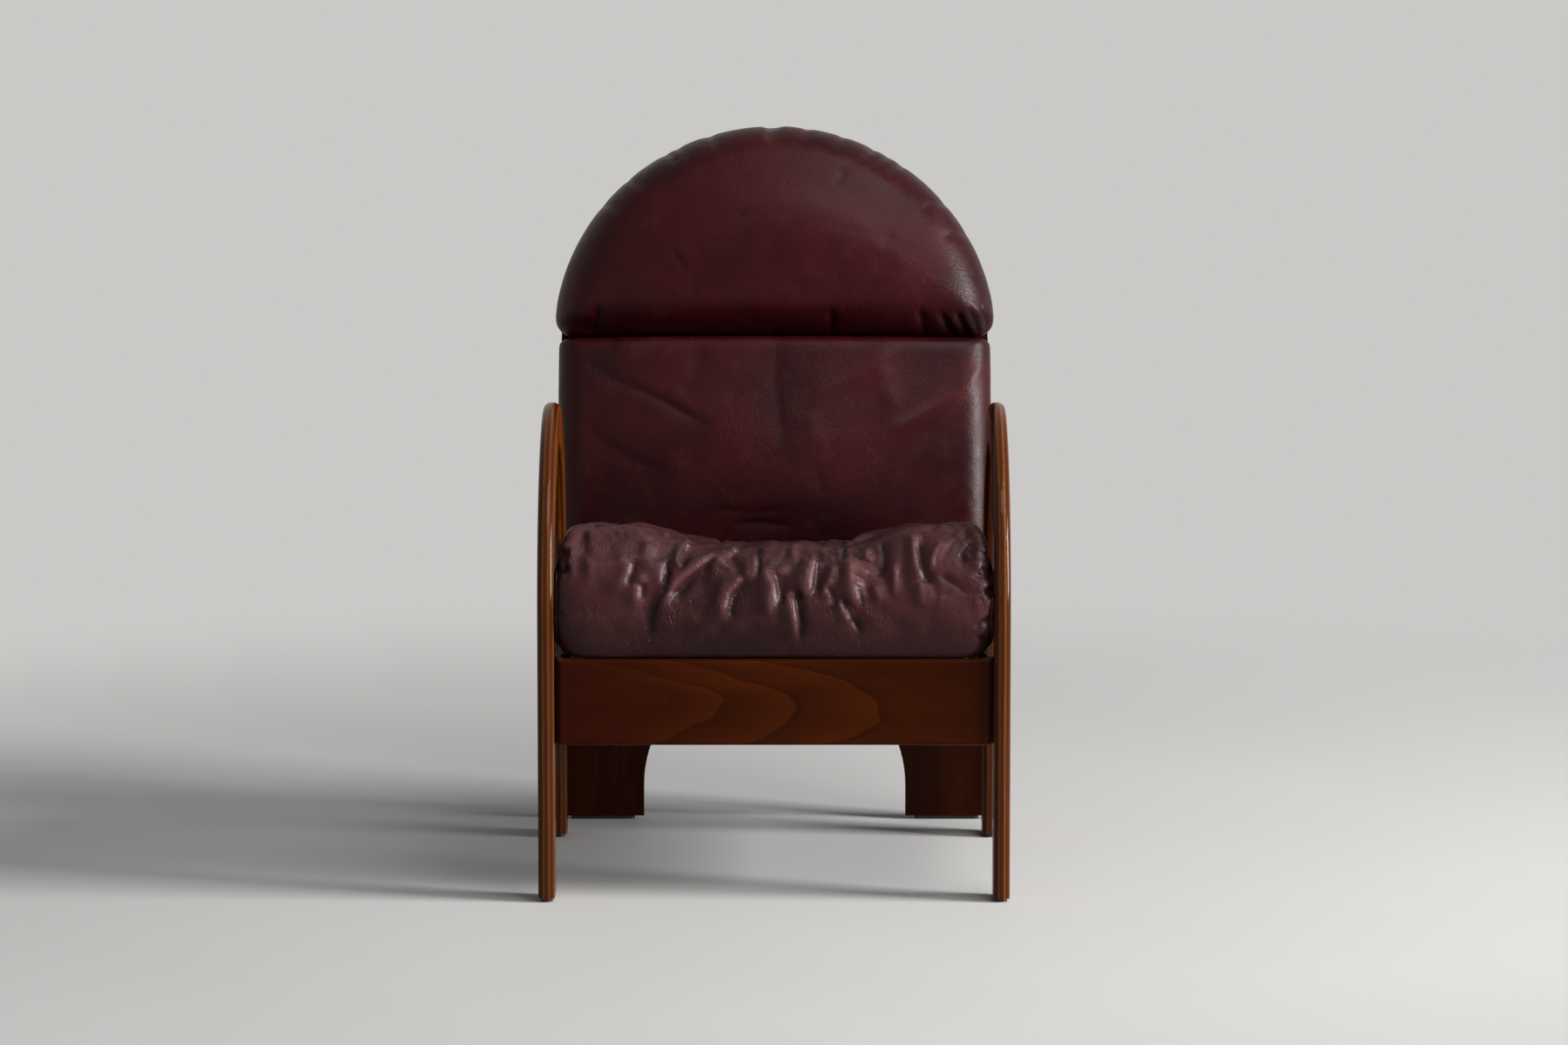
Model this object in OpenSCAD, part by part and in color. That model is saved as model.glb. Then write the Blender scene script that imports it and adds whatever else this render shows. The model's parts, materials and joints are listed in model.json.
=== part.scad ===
// Easy chair. Two laminated arches carry a seat frame with webbing. A bent plywood back
// stands on the floor behind them and carries two leather pads. The seat cushion lies loose.
// Sizes are in millimetres and angles in degrees. The front of the chair faces -Y.

/* [Side arches] */
// Width over the outer faces of the two arches
frame_w = 620; // [560:5:700]
// Depth of an arch, from its front edge to its rear edge
arch_depth = 536; // [500:2:580]
// Height of the top of the arm above the floor
arm_h = 630; // [600:5:670]
// Width of the laminated band
arch_band = 60; // [54:1:70]
// Thickness of the laminated band
arch_t = 22; // [20:1:28]
// Radius on the long edges of the band
arch_edge_r = 9.5; // [4:0.5:9.5]

/* [Seat frame] */
// Thickness of the rails
rail_t = 20; // [18:1:24]
// Height of the front rail
rail_h = 114; // [105:1:130]
// Height of the underside of the rails above the floor
rail_z = 208; // [190:1:225]
// Distance of the front rail behind the front edge of the arches
rail_setback = 10; // [5:1:14]
// Shadow gap between the end of a cross rail and the arch
rail_end_gap = 4; // [2:0.5:6]
// Radius on the edges of the front rail
rail_edge_r = 5; // [2:0.5:6]
// Slope of the seat, down towards the back
seat_slope = 3; // [1:0.5:4]
// Distance of the rear rail above the top of the round opening in the back
rear_rail_clear = 6; // [2:1:12]
// Length of a side of the triangular corner blocks
block_leg = 44; // [38:1:50]
// Height of the corner blocks
block_h = 44; // [38:1:46]

/* [Back shell] */
// Width of the bent plywood back
shell_w = 600; // [540:5:616]
// Thickness of the bent plywood back
shell_t = 16; // [14:1:20]
// Distance of the back behind the rear edge of the arches
shell_reach = 89; // [80:1:110]
// Lean of the upper part of the back
recline = 18; // [10:0.5:20]
// Height at which the bend starts
bend_z = 300; // [296:2:320]
// Radius of the bend, on its front face
bend_r = 800; // [600:10:1000]
// Length of the straight part between the bend and the centre of the round top
upper_len = 125; // [100:5:160]
// Width of the round opening between the two back feet
opening_w = 368; // [300:4:400]
// Height above the floor at which the round opening starts to close
opening_spring = 42; // [30:1:46]

/* [Glides] */
// Thickness of the glides under legs and feet
glide_t = 5; // [3:0.5:8]
// Width of a leg glide
leg_glide_w = 15; // [10:1:18]
// Length of a leg glide
leg_glide_len = 46; // [30:1:52]
// Width of a glide under a back foot
foot_glide_w = 12; // [8:1:13]
// Length of a glide under a back foot
foot_glide_len = 90; // [60:2:100]

/* [Webbing] */
// Number of elastic straps under the seat cushion
strap_count = 6; // [4:1:7]
// Width of a strap
strap_w = 52; // [40:1:58]
// Thickness of a strap
strap_t = 2.5; // [2:0.1:4]
// Depth of the groove that holds the strap clips
groove_depth = 13; // [10:0.5:15]
// Wall of a strap clip
clip_wall = 0.8; // [0.6:0.1:1.2]
// Height of a strap clip
clip_h = 11; // [8:0.5:13]

/* [Seat cushion] */
// Thickness of the seat cushion at its front
seat_h = 152; // [130:2:160]
// Thickness of the seat cushion at its rear
seat_rear_h = 112; // [90:2:130]
// Extra height of the crown on each side of the seat cushion
seat_crown = 34; // [10:1:40]
// Depth of the hollow that sitting leaves in the middle
seat_dip = 44; // [0:1:46]
// Amount by which the seat cushion stands proud of the front edge of the arches
seat_proud = 8; // [2:1:12]
// Amount by which the sides of the seat cushion draw in between its corners
seat_draw = 5; // [0:1:10]
// Radius on the lower edge of the seat cushion
seat_low_r = 24; // [14:1:32]
// Radius on the upper edge of the front and rear of the seat cushion
seat_high_r = 66; // [40:1:72]
// Radius on the upper edge of the sides of the seat cushion
seat_side_r = 38; // [24:1:50]
// Radius of the corners of the seat cushion, seen from above
seat_corner_r = 44; // [34:1:70]

/* [Back cushions] */
// Overall thickness of the back pad
pad_t = 88; // [70:1:92]
// Radius on the front edges of the back pad
pad_edge_r = 46; // [24:1:56]
// Overall thickness of the head cushion
head_t = 128; // [100:2:140]
// Radius on the front edges of the head cushion
head_edge_r = 72; // [36:1:80]
// Amount by which the back pad stands past the sides of the back
pad_over = 3; // [0:1:8]
// Amount by which the head cushion stands past the edge of the back
head_over = 10; // [0:1:12]
// Radius on the rear edges of both back cushions
cushion_rear_r = 20; // [12:1:30]
// Thickness of the boards that the two back cushions are upholstered on
board_t = 5; // [4:0.5:8]
// Distance of the edge of a board inside the edge of the back
board_inset = 24; // [14:1:34]
// Height of the bottom of the back pad above the start of the bend
pad_rise = 6; // [4:1:20]
// Gap between the back pad and the head cushion where they meet
crease_gap = 2; // [1:0.5:6]

/* [Hidden] */

sides = [-1, 1];
cut = 1; // overrun of every cut past the face that it opens
seat_gap = 0.3; // gap between a soft piece and what it rests on
fit_gap = 0.1; // radial gap of pins, screws and bolts in their holes
round_fn = 96;
small_fn = 32;
bend_steps = 24;

// Places, measured from the front edge of the arches and from the floor.
arch_r = arch_depth / 2;
spring_z = arm_h - arch_r;
inner_x = frame_w / 2 - arch_t;
shell_y = arch_depth + shell_reach;
side_rail_y = rail_setback + rail_t;
side_rail_len = shell_y - rail_t - side_rail_y;
rail_half = inner_x - rail_end_gap;
opening_r = opening_w / 2;
opening_z = opening_spring + glide_t;
rear_rail_z = opening_z + opening_r + rear_rail_clear;
rear_top_z = rail_z + rail_h - side_rail_len * tan(seat_slope);
rear_rail_h = rear_top_z - rear_rail_z;
side_rail_mid_x = inner_x - rail_t / 2;

// The back, followed along its front face from the start of the bend upwards.
bend_len = bend_r * recline * PI / 180;
top_r = shell_w / 2;
bend_end_y = shell_y + bend_r * (1 - cos(recline));
bend_end_z = bend_z + bend_r * sin(recline);
top_len = bend_len + upper_len;
back_y = bend_end_y + (upper_len + top_r) * sin(recline) + shell_t * cos(recline);

// The origin is at the middle of the whole chair's footprint.
overall_depth = back_y + seat_proud;
front_y = seat_proud - overall_depth / 2;

// Fasteners.
bolt_r = 3;
bolt_head_r = 6.5;
bolt_head_h = 3.5;
insert_r = 4.5;
insert_len = 12;
front_bolt_y = (side_rail_y + arch_band) / 2;
front_bolt_heights = [18, 90];
rear_bolt_y = arch_depth - arch_band / 2;
rear_bolt_heights = [18, 42];
bolt_clear = 2.5; // gap between the head of a shell bolt and a corner block
shell_bolt_x = inner_x - rail_t - block_leg - bolt_head_r - bolt_clear;
middle_bolt_share = 0.37; // place of the inner shell bolts as a share of that of the outer ones
shell_bolt_xs = [for (side = sides, share = [middle_bolt_share, 1]) side * share * shell_bolt_x];
shell_bolt_z = rear_rail_z + rear_rail_h / 2;
dowel_r = 4;
dowel_in_rail = 12;
dowel_in_side = 18;
front_dowel_heights = [36, 72];
rear_dowel_heights = [34, 62];
screw_r = 2;
screw_head_r = 4;
screw_head_h = 2.5;
screw_bite = 13;
screw_seat = 12;
screw_heights = [12, 32];
stud_r = 4;
stud_in_shell = 10;
pad_stud_xs = [-200, 200];
pad_stud_places = [40, 200, 330];
head_stud_angles = [30, 90, 150];
head_stud_ring = 190;

// Webbing.
clip_t = strap_t + 2 * clip_wall;
groove_w = clip_t + 4 * fit_gap;
strap_edge = 14;
strap_first = strap_edge + strap_w / 2;
strap_last = arch_depth - side_rail_y - strap_edge - strap_w / 2;
strap_pitch = (strap_last - strap_first) / (strap_count - 1);

// Cushions. Each is a closed bag of rings of points, from the middle of its back or bottom
// round its edge to the middle of its front or top.
seat_side_gap = 0.4; // gap between the seat cushion and the arches
seat_rear_gap = 6; // gap between the seat cushion and the rear edge of the arches
seat_bulge = 5; // how far the walls of the seat cushion swell between its edges
pad_bulge = 3;
pad_corner_r = 24;
pad_crown = 10; // how much thicker the back pad is in its middle than behind its edges
head_bulge = 9;
head_corner_r = 38;
head_crown = 14;
corner_steps = 5;
wide_steps = 11;
deep_steps = 8;
arc_steps = 5;
dome_steps = 4;
flat_steps = 5;
head_arc_steps = 28;
head_flat_steps = 16;
head_squash_share = 0.977; // height of the head cushion's round top as a share of its radius
dip_width_share = 0.72;
dip_front_share = 0.4;
crown_front_share = 0.45;

// Moves a piece from the front edge of the arches to the middle of the footprint.
module from_front() translate([0, front_y, 0]) children();

// Moves a piece onto the sloping top edge of the side rails, at its front end.
module on_deck() translate([0, side_rail_y, rail_z + rail_h]) rotate([-seat_slope, 0, 0]) children();

// Moves a piece onto the straight upper part of the back: X stays, Y runs up the slope from
// the end of the bend, and Z stands out of the front face.
module on_upper_back()
    translate([0, bend_end_y, bend_end_z]) rotate([90 - recline, 0, 0]) children();

// Rectangle with round corners, from the origin.
module rounded_rect(w, h, r) {
    translate([r, 0]) square([w - 2 * r, h]);
    translate([0, r]) square([w, h - 2 * r]);
    for (x = [r, w - r], y = [r, h - r]) translate([x, y]) circle(r = r, $fn = small_fn);
}

// Side arches.

module arch_leg(y, side) {
    translate([side * (frame_w / 2 - arch_t / 2) - arch_t / 2, y, glide_t])
        linear_extrude(height = spring_z - glide_t) rounded_rect(arch_t, arch_band, arch_edge_r);
}

module arch_bow(side) {
    translate([side * (frame_w / 2 - arch_t / 2), arch_r, spring_z])
        rotate([90, 0, 90])
            rotate_extrude(angle = 180, $fn = round_fn)
                translate([arch_r - arch_band, -arch_t / 2])
                    rounded_rect(arch_band, arch_t, arch_edge_r);
}

// Every place where a bolt joins a side rail to a leg, with its axis towards the arch.
module at_arch_bolts(side) {
    for (h = front_bolt_heights) translate([side * inner_x, front_bolt_y, rail_z + h])
        rotate([0, side * 90, 0]) children();
    for (h = rear_bolt_heights) translate([side * inner_x, rear_bolt_y, rail_z + h])
        rotate([0, side * 90, 0]) children();
}

module side_arch(side) {
    color("saddlebrown") from_front() difference() {
        union() {
            arch_leg(0, side);
            arch_leg(arch_depth - arch_band, side);
            arch_bow(side);
        }
        at_arch_bolts(side)
            translate([0, 0, -cut]) cylinder(r = insert_r, h = insert_len + cut, $fn = small_fn);
    }
}

// Seat frame.

// Every dowel place, with its axis from the end rail into the side rail.
module at_dowels(side, front = true, rear = true) {
    if (front) for (h = front_dowel_heights)
        translate([side * side_rail_mid_x, side_rail_y, rail_z + h]) rotate([-90, 0, 0]) children();
    if (rear) for (h = rear_dowel_heights)
        translate([side * side_rail_mid_x, shell_y - rail_t, rail_z + h]) rotate([90, 0, 0]) children();
}

module dowel(r) {
    translate([0, 0, -dowel_in_rail]) cylinder(r = r, h = dowel_in_rail + dowel_in_side, $fn = small_fn);
}

// Places for the four corner blocks, with X and Y along the two rails of the corner.
module at_blocks() {
    for (side = sides) {
        translate([side * (inner_x - rail_t), side_rail_y, rear_rail_z]) mirror([(side + 1) / 2, 0, 0])
            children();
        translate([side * (inner_x - rail_t), shell_y - rail_t, rear_rail_z])
            mirror([(side + 1) / 2, 0, 0]) mirror([0, 1, 0]) children();
    }
}

// One screw runs into the side rail and one into the end rail.
module at_block_screws() {
    translate([0, block_leg / 2, screw_heights[0]]) rotate([0, -90, 0]) children();
    translate([block_leg / 2, 0, screw_heights[1]]) rotate([90, 0, 0]) children();
}

module screw_hole() {
    translate([0, 0, -screw_seat])
        cylinder(r = screw_r + fit_gap, h = screw_seat + screw_bite + fit_gap, $fn = small_fn);
    translate([0, 0, -block_leg])
        cylinder(r = screw_head_r + fit_gap, h = block_leg - screw_seat, $fn = small_fn);
}

module screw() {
    translate([0, 0, -screw_seat]) cylinder(r = screw_r, h = screw_seat + screw_bite, $fn = small_fn);
    translate([0, 0, -screw_seat - screw_head_h])
        cylinder(r = screw_head_r, h = screw_head_h, $fn = small_fn);
}

module corner_blocks() {
    color("burlywood") from_front() at_blocks() difference() {
        linear_extrude(height = block_h) polygon([[0, 0], [block_leg, 0], [0, block_leg]]);
        at_block_screws() screw_hole();
    }
}

module block_screws() {
    color("silver") from_front() at_blocks() at_block_screws() screw();
}

module rail_dowels() {
    color("burlywood") from_front() for (side = sides) at_dowels(side) dowel(dowel_r);
}

module cross_rail_blank(z, h, edge_r) {
    intersection() {
        translate([-rail_half, 0, z]) rotate([90, 0, 90])
            linear_extrude(height = 2 * rail_half) rounded_rect(rail_t, h, edge_r);
        translate([-rail_half, 0, z]) linear_extrude(height = h)
            rounded_rect(2 * rail_half, rail_t, edge_r);
    }
}

module front_rail() {
    color("sienna") from_front() difference() {
        translate([0, rail_setback, 0]) cross_rail_blank(rail_z, rail_h, rail_edge_r);
        for (side = sides) at_dowels(side, rear = false) dowel(dowel_r + fit_gap);
        at_blocks() at_block_screws() screw_hole();
    }
}

module rear_rail() {
    color("sienna") from_front() difference() {
        translate([-rail_half, shell_y - rail_t, rear_rail_z]) cube([2 * rail_half, rail_t, rear_rail_h]);
        for (side = sides) at_dowels(side, front = false) dowel(dowel_r + fit_gap);
        at_blocks() at_block_screws() screw_hole();
        at_shell_bolts() bolt_hole();
    }
}

module side_rail(side) {
    color("sienna") from_front() difference() {
        translate([side * side_rail_mid_x - rail_t / 2, side_rail_y, rail_z]) rotate([90, 0, 90])
            linear_extrude(height = rail_t)
                polygon([[0, 0], [side_rail_len, 0], [side_rail_len, rear_top_z - rail_z], [0, rail_h]]);
        on_deck() translate([side * side_rail_mid_x - groove_w / 2, -cut, -groove_depth])
            cube([groove_w, 2 * side_rail_len, groove_depth + cut]);
        at_arch_bolts(side) bolt_hole();
        at_dowels(side) dowel(dowel_r + fit_gap);
        at_blocks() at_block_screws() screw_hole();
    }
}

// A bolt passes through a rail, which ends at the origin, into an insert beyond it.
module bolt_hole() {
    translate([0, 0, -rail_t - cut])
        cylinder(r = bolt_r + fit_gap, h = rail_t + 2 * cut, $fn = small_fn);
}

module bolt() {
    translate([0, 0, -rail_t])
        cylinder(r = bolt_r, h = rail_t + insert_len - 2 * fit_gap, $fn = small_fn);
    translate([0, 0, -rail_t - bolt_head_h])
        cylinder(r = bolt_head_r, h = bolt_head_h, $fn = small_fn);
}

module insert() {
    difference() {
        cylinder(r = insert_r - fit_gap / 2, h = insert_len - fit_gap, $fn = small_fn);
        translate([0, 0, -cut]) cylinder(r = bolt_r + fit_gap, h = insert_len + 2 * cut, $fn = small_fn);
    }
}

module arch_bolts() {
    color("silver") from_front() for (side = sides) at_arch_bolts(side) bolt();
}

module arch_inserts() {
    color("gold") from_front() for (side = sides) at_arch_bolts(side) insert();
}

// Webbing.

module strap(i) {
    color("dimgray") from_front() on_deck()
        translate([0, strap_first + (i - 1) * strap_pitch - strap_w / 2, 0]) {
            translate([-side_rail_mid_x - strap_t / 2, 0, 0])
                cube([2 * side_rail_mid_x + strap_t, strap_w, strap_t]);
            for (side = sides)
                translate([side * side_rail_mid_x - strap_t / 2, 0, clip_wall - groove_depth])
                    cube([strap_t, strap_w, groove_depth - clip_wall + strap_t / 2]);
        }
}

module strap_clips() {
    color("silver") from_front() on_deck()
        for (i = [0 : strap_count - 1], side = sides)
            translate([side * side_rail_mid_x, strap_first + i * strap_pitch, -groove_depth])
                difference() {
                    translate([-clip_t / 2, -strap_w / 2, 0]) cube([clip_t, strap_w, clip_h]);
                    translate([-strap_t / 2, -strap_w / 2 - cut, clip_wall])
                        cube([strap_t, strap_w + 2 * cut, clip_h]);
                }
}

// Back shell and the boards on it.

// A sheet that follows the back, between two distances along the front face and between two
// distances out of it.
module bent_sheet(half_w, low_s, high_s, low_n, high_n) {
    first = max(0, low_s);
    bend = [for (k = [0 : bend_steps]) first + (bend_len - first) * k / bend_steps];
    places = concat(low_s < 0 ? [low_s] : [], bend, [high_s]);
    last = len(places) - 1;
    translate([-half_w, 0, 0]) rotate([90, 0, 90]) linear_extrude(height = 2 * half_w)
        polygon(concat([for (k = [0 : last]) back_point(places[k], high_n)],
            [for (k = [last : -1 : 0]) back_point(places[k], low_n)]));
}

module at_shell_bolts() {
    for (x = shell_bolt_xs) translate([x, shell_y, shell_bolt_z]) rotate([-90, 0, 0]) children();
}

// Stud places of the back pad's board, with Z into the back.
module at_pad_studs() {
    for (x = pad_stud_xs, s = pad_stud_places) translate([x, 0, 0]) into_back(s) children();
}

// A place on the front face of the back, with Z pointing into it.
module into_back(s) {
    p = back_point(s, 0);
    translate([0, p.x, p.y]) rotate([-90 - back_lean(s), 0, 0]) children();
}

module at_head_studs() {
    for (a = head_stud_angles) on_upper_back()
        translate([head_stud_ring * cos(a), upper_len + head_stud_ring * sin(a), 0])
            rotate([180, 0, 0]) children();
}

module back_shell() {
    color("sienna") from_front() difference() {
        intersection() {
            bent_sheet(top_r, glide_t - bend_z, top_len + shell_w, -shell_t, 0);
            on_upper_back() translate([0, upper_len, -bend_z]) linear_extrude(height = bend_z + shell_t) {
                circle(r = top_r, $fn = round_fn);
                translate([-top_r, -top_len - bend_z]) square([shell_w, top_len + bend_z]);
            }
        }
        translate([0, shell_y - cut, opening_z]) rotate([-90, 0, 0])
            cylinder(r = opening_r, h = shell_t + 2 * cut, $fn = round_fn);
        translate([-opening_r, shell_y - cut, 0]) cube([opening_w, shell_t + 2 * cut, opening_z]);
        at_shell_bolts()
            translate([0, 0, -cut]) cylinder(r = insert_r, h = insert_len + cut, $fn = small_fn);
        at_pad_studs()
            translate([0, 0, -cut]) cylinder(r = stud_r + fit_gap, h = stud_in_shell + cut, $fn = small_fn);
        at_head_studs()
            translate([0, 0, -cut]) cylinder(r = stud_r + fit_gap, h = stud_in_shell + cut, $fn = small_fn);
    }
}

module shell_bolts() {
    color("silver") from_front() at_shell_bolts() bolt();
}

module shell_inserts() {
    color("gold") from_front() at_shell_bolts() insert();
}

module stud_hole() {
    translate([0, 0, -board_t - cut])
        cylinder(r = stud_r + fit_gap, h = board_t + 2 * cut, $fn = small_fn);
}

module stud() {
    translate([0, 0, -board_t])
        cylinder(r = stud_r, h = board_t + stud_in_shell - fit_gap, $fn = small_fn);
}

module back_pad_board() {
    color("burlywood") from_front() difference() {
        bent_sheet(top_r - board_inset, pad_rise + board_inset, top_len - board_inset, 0, board_t);
        at_pad_studs() stud_hole();
    }
}

module head_board() {
    color("burlywood") from_front() difference() {
        on_upper_back() translate([0, upper_len + board_inset, 0])
            rotate_extrude(angle = 180, $fn = round_fn) square([top_r - 2 * board_inset, board_t]);
        at_head_studs() stud_hole();
    }
}

module pad_studs() {
    color("ivory") from_front() {
        at_pad_studs() stud();
        at_head_studs() stud();
    }
}

// Glides.

module glide_pad(w, len) {
    hull_r = w / 2;
    linear_extrude(height = glide_t) {
        translate([-hull_r, hull_r - len / 2]) square([w, len - w]);
        for (side = sides) translate([0, side * (len / 2 - hull_r)]) circle(r = hull_r, $fn = small_fn);
    }
}

module leg_glide(side, y) {
    color("dimgray") from_front() translate([side * (frame_w - arch_t) / 2, y, 0])
        glide_pad(leg_glide_w, leg_glide_len);
}

module foot_glide(side) {
    color("dimgray") from_front()
        translate([side * (top_r + opening_r) / 2, shell_y + shell_t / 2, 0])
            rotate([0, 0, 90]) glide_pad(foot_glide_w, foot_glide_len);
}

// Cushions.

// Lean of the front face at a distance along it, and the point that stands out of it by n.
function back_lean(s) = max(0, min(recline, s / bend_r * 180 / PI));
function face_y(s) = s < 0 ? shell_y : s < bend_len ? shell_y + bend_r * (1 - cos(back_lean(s)))
    : bend_end_y + (s - bend_len) * sin(recline);
function face_z(s) = s < 0 ? bend_z + s : s < bend_len ? bend_z + bend_r * sin(back_lean(s))
    : bend_end_z + (s - bend_len) * cos(recline);
function back_point(s, n) =
    [face_y(s) - n * cos(back_lean(s)), face_z(s) + n * sin(back_lean(s))];

// Points on the way from one point to the next, without the two ends.
function between(p, q, steps) = [for (k = [1 : steps - 1]) p + (q - p) * k / steps];

// Rectangle with round corners as a ring of points, as far as half_w and half_h each way. Its
// corners keep their number of points, so that rings of any size join up.
function box_ring(half_w, half_h, r) = let (
    centres = [[half_w - r, half_h - r], [r - half_w, half_h - r], [r - half_w, r - half_h],
        [half_w - r, r - half_h]],
    arcs = [for (c = [0 : 3]) [for (k = [0 : corner_steps])
        centres[c] + r * [cos(90 * (c + k / corner_steps)), sin(90 * (c + k / corner_steps))]]]
) [for (c = [0 : 3]) each concat(arcs[c],
    between(arcs[c][corner_steps], arcs[(c + 1) % 4][0], c % 2 == 0 ? wide_steps : deep_steps))];

// Section of a bag's edge, as steps of how far it draws in and how high it stands. It starts
// at the low edge, swells to its widest point and ends where the top becomes flat.
function edge_section(low_in, low_h, bulge, high_in, high_h) = let (
    waist = low_h + (high_h - low_h) * low_in / (low_in + high_in)
) concat(
    [for (k = [0 : arc_steps - 1]) let (t = 90 * k / arc_steps)
        [bulge + (low_in - bulge) * (1 - sin(t)), low_h + (waist - low_h) * (1 - cos(t)) / 2]],
    [[0, waist]],
    [for (k = [1 : arc_steps]) let (t = 90 * k / arc_steps)
        [high_in * (1 - cos(t)), waist + (high_h - waist) * sin(t)]]);

// Closed bag through rings of points, all with as many points, and its two middle points.
module bag(low, rings, high) {
    spokes = len(rings[0]);
    top = 1 + len(rings) * spokes;
    last = top - spokes;
    faces = concat(
        [for (k = [0 : spokes - 1]) [0, 1 + k, 1 + (k + 1) % spokes]],
        [for (ring = [0 : len(rings) - 2], k = [0 : spokes - 1]) let (
            a = 1 + ring * spokes + k,
            b = 1 + ring * spokes + (k + 1) % spokes
        ) each [[a, b + spokes, b], [a, a + spokes, b + spokes]]],
        [for (k = [0 : spokes - 1]) [last + k, top, last + (k + 1) % spokes]]);
    polyhedron(points = concat([low], [for (ring = rings) each ring], [high]), faces = faces,
        convexity = 4);
}

// Smooth hump that is 1 at 0 and falls to 0 at 1.
function hump(t) = pow(cos(90 * min(1, abs(t))), 2);

// Seat cushion.

seat_half_w = inner_x - seat_side_gap;
seat_len = (arch_depth - seat_rear_gap + seat_proud) / cos(seat_slope);
seat_low = strap_t + seat_gap;

// Height of the crown along the cushion, highest some way behind its front edge.
function crown_along(v) = let (w = v + crown_front_share)
    w < 0 ? 1 - pow(w / (1 - crown_front_share), 4) : hump(w / (1 + crown_front_share));

// Added height of the top at a place on the cushion: it falls to the rear, with a crown on
// each side of a sat-in hollow that reaches the front edge.
function seat_rise(x, y) = let (u = x / seat_half_w, v = 2 * y / seat_len)
    (seat_rear_h - seat_h) * (1 + v) / 2 + seat_crown * (1 - pow(u, 6)) * crown_along(v)
    - seat_dip * hump(u / dip_width_share) * (v < 0 ? 1 - dip_front_share * v * v : hump(v));

// A ring of the cushion, drawn in all round and more between its corners. The insets are those
// at the sides and at the front.
function seat_ring(inset, side_inset, z, top_share) = [
    for (p = box_ring(seat_half_w - side_inset, seat_len / 2 - inset,
        max(seat_corner_r - inset, seat_draw)))
        let (
            u = p.x / seat_half_w,
            x = p.x - sign(p.x) * seat_draw * hump(2 * p.y / seat_len) * pow(abs(u), 4)
        ) [x, p.y, z + top_share * seat_rise(x, p.y)]];

module seat_cushion() {
    section = edge_section(seat_low_r, 0, seat_bulge, seat_high_r, seat_h);
    waist = section[arc_steps].y;
    side_share = seat_side_r / seat_high_r;
    dome_w = seat_half_w - seat_side_r;
    dome_l = seat_len / 2 - seat_high_r;
    rings = concat(
        [for (s = section) seat_ring(s.x, s.y < waist ? s.x : s.x * side_share, s.y,
            max(0, (s.y - waist) / (seat_h - waist)))],
        [for (k = [dome_steps - 1 : -1 : 1]) [
            for (p = box_ring(dome_w, dome_l, seat_draw) * k / dome_steps)
                [p.x, p.y, seat_h + seat_rise(p.x, p.y)]]]);
    color("maroon") from_front() on_deck()
        translate([0, seat_len / 2 - (seat_proud + side_rail_y) / cos(seat_slope), seat_low])
            bag([0, 0, 0], rings, [0, 0, seat_h + seat_rise(0, 0)]);
}

// Back pad and head cushion.

// Both lie on the front face of the back. Their points are given by how far they lie to the
// right, how far up along the face and how far out of it.
function on_face(x, s, n) = let (p = back_point(s, n)) [x, p.x, p.y];

pad_half_w = top_r + pad_over;
pad_low = pad_rise;
pad_high = top_len - crease_gap / 2;
pad_mid = (pad_low + pad_high) / 2;
pad_half_h = (pad_high - pad_low) / 2;
rear_n = board_t + seat_gap;

function pad_ring(inset, n) = [
    for (p = box_ring(pad_half_w - inset, pad_half_h - inset, max(pad_corner_r - inset, pad_bulge)))
        on_face(p.x, pad_mid + p.y, n)];

// The head cushion follows the round top of the back, closed by a straight bottom edge with
// round corners. A ring lies inset from that outline all round. Its corner circles touch the
// straight edge and the inside of the round top.
head_half_w = top_r + head_over;
head_low = crease_gap / 2;
head_mid_inset = (head_half_w - head_low) / 2 - head_bulge;
function head_ring(inset, n) = let (
    r = head_half_w - inset,
    corner = max(head_corner_r - inset, head_bulge / 2),
    cy = head_low + inset + corner,
    cx = sqrt(pow(r - corner, 2) - cy * cy),
    lean = atan2(cy, cx),
    right = [for (k = [0 : corner_steps]) let (a = -90 + (90 + lean) * k / corner_steps)
        [cx + corner * cos(a), cy + corner * sin(a)]],
    left = [for (k = [corner_steps : -1 : 0]) [-right[k].x, right[k].y]],
    top = [for (k = [1 : head_arc_steps - 1]) let (a = lean + (180 - 2 * lean) * k / head_arc_steps)
        r * [cos(a), sin(a)]]
) [for (p = concat(right, top, left, between(left[corner_steps], right[0], head_flat_steps)))
    on_face(p.x, top_len + p.y * head_squash_share, n)];

module back_pad() {
    section = edge_section(cushion_rear_r, rear_n, pad_bulge, pad_edge_r, pad_t - pad_crown);
    rear_w = pad_half_w - cushion_rear_r;
    rear_h = pad_half_h - cushion_rear_r;
    dome_w = pad_half_w - pad_edge_r;
    dome_h = pad_half_h - pad_edge_r;
    rings = concat(
        [for (k = [1 : flat_steps - 1])
            [for (p = box_ring(rear_w, rear_h, pad_corner_r / 2) * k / flat_steps)
                on_face(p.x, pad_mid + p.y, rear_n)]],
        [for (s = section) pad_ring(s.x, s.y)],
        [for (k = [dome_steps - 1 : -1 : 1]) let (share = k / dome_steps)
            [for (p = box_ring(dome_w, dome_h, pad_bulge) * share)
                on_face(p.x, pad_mid + p.y, pad_t - pad_crown + pad_crown * hump(share))]]);
    color("maroon") from_front()
        bag(on_face(0, pad_mid, rear_n), rings, on_face(0, pad_mid, pad_t));
}

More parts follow.
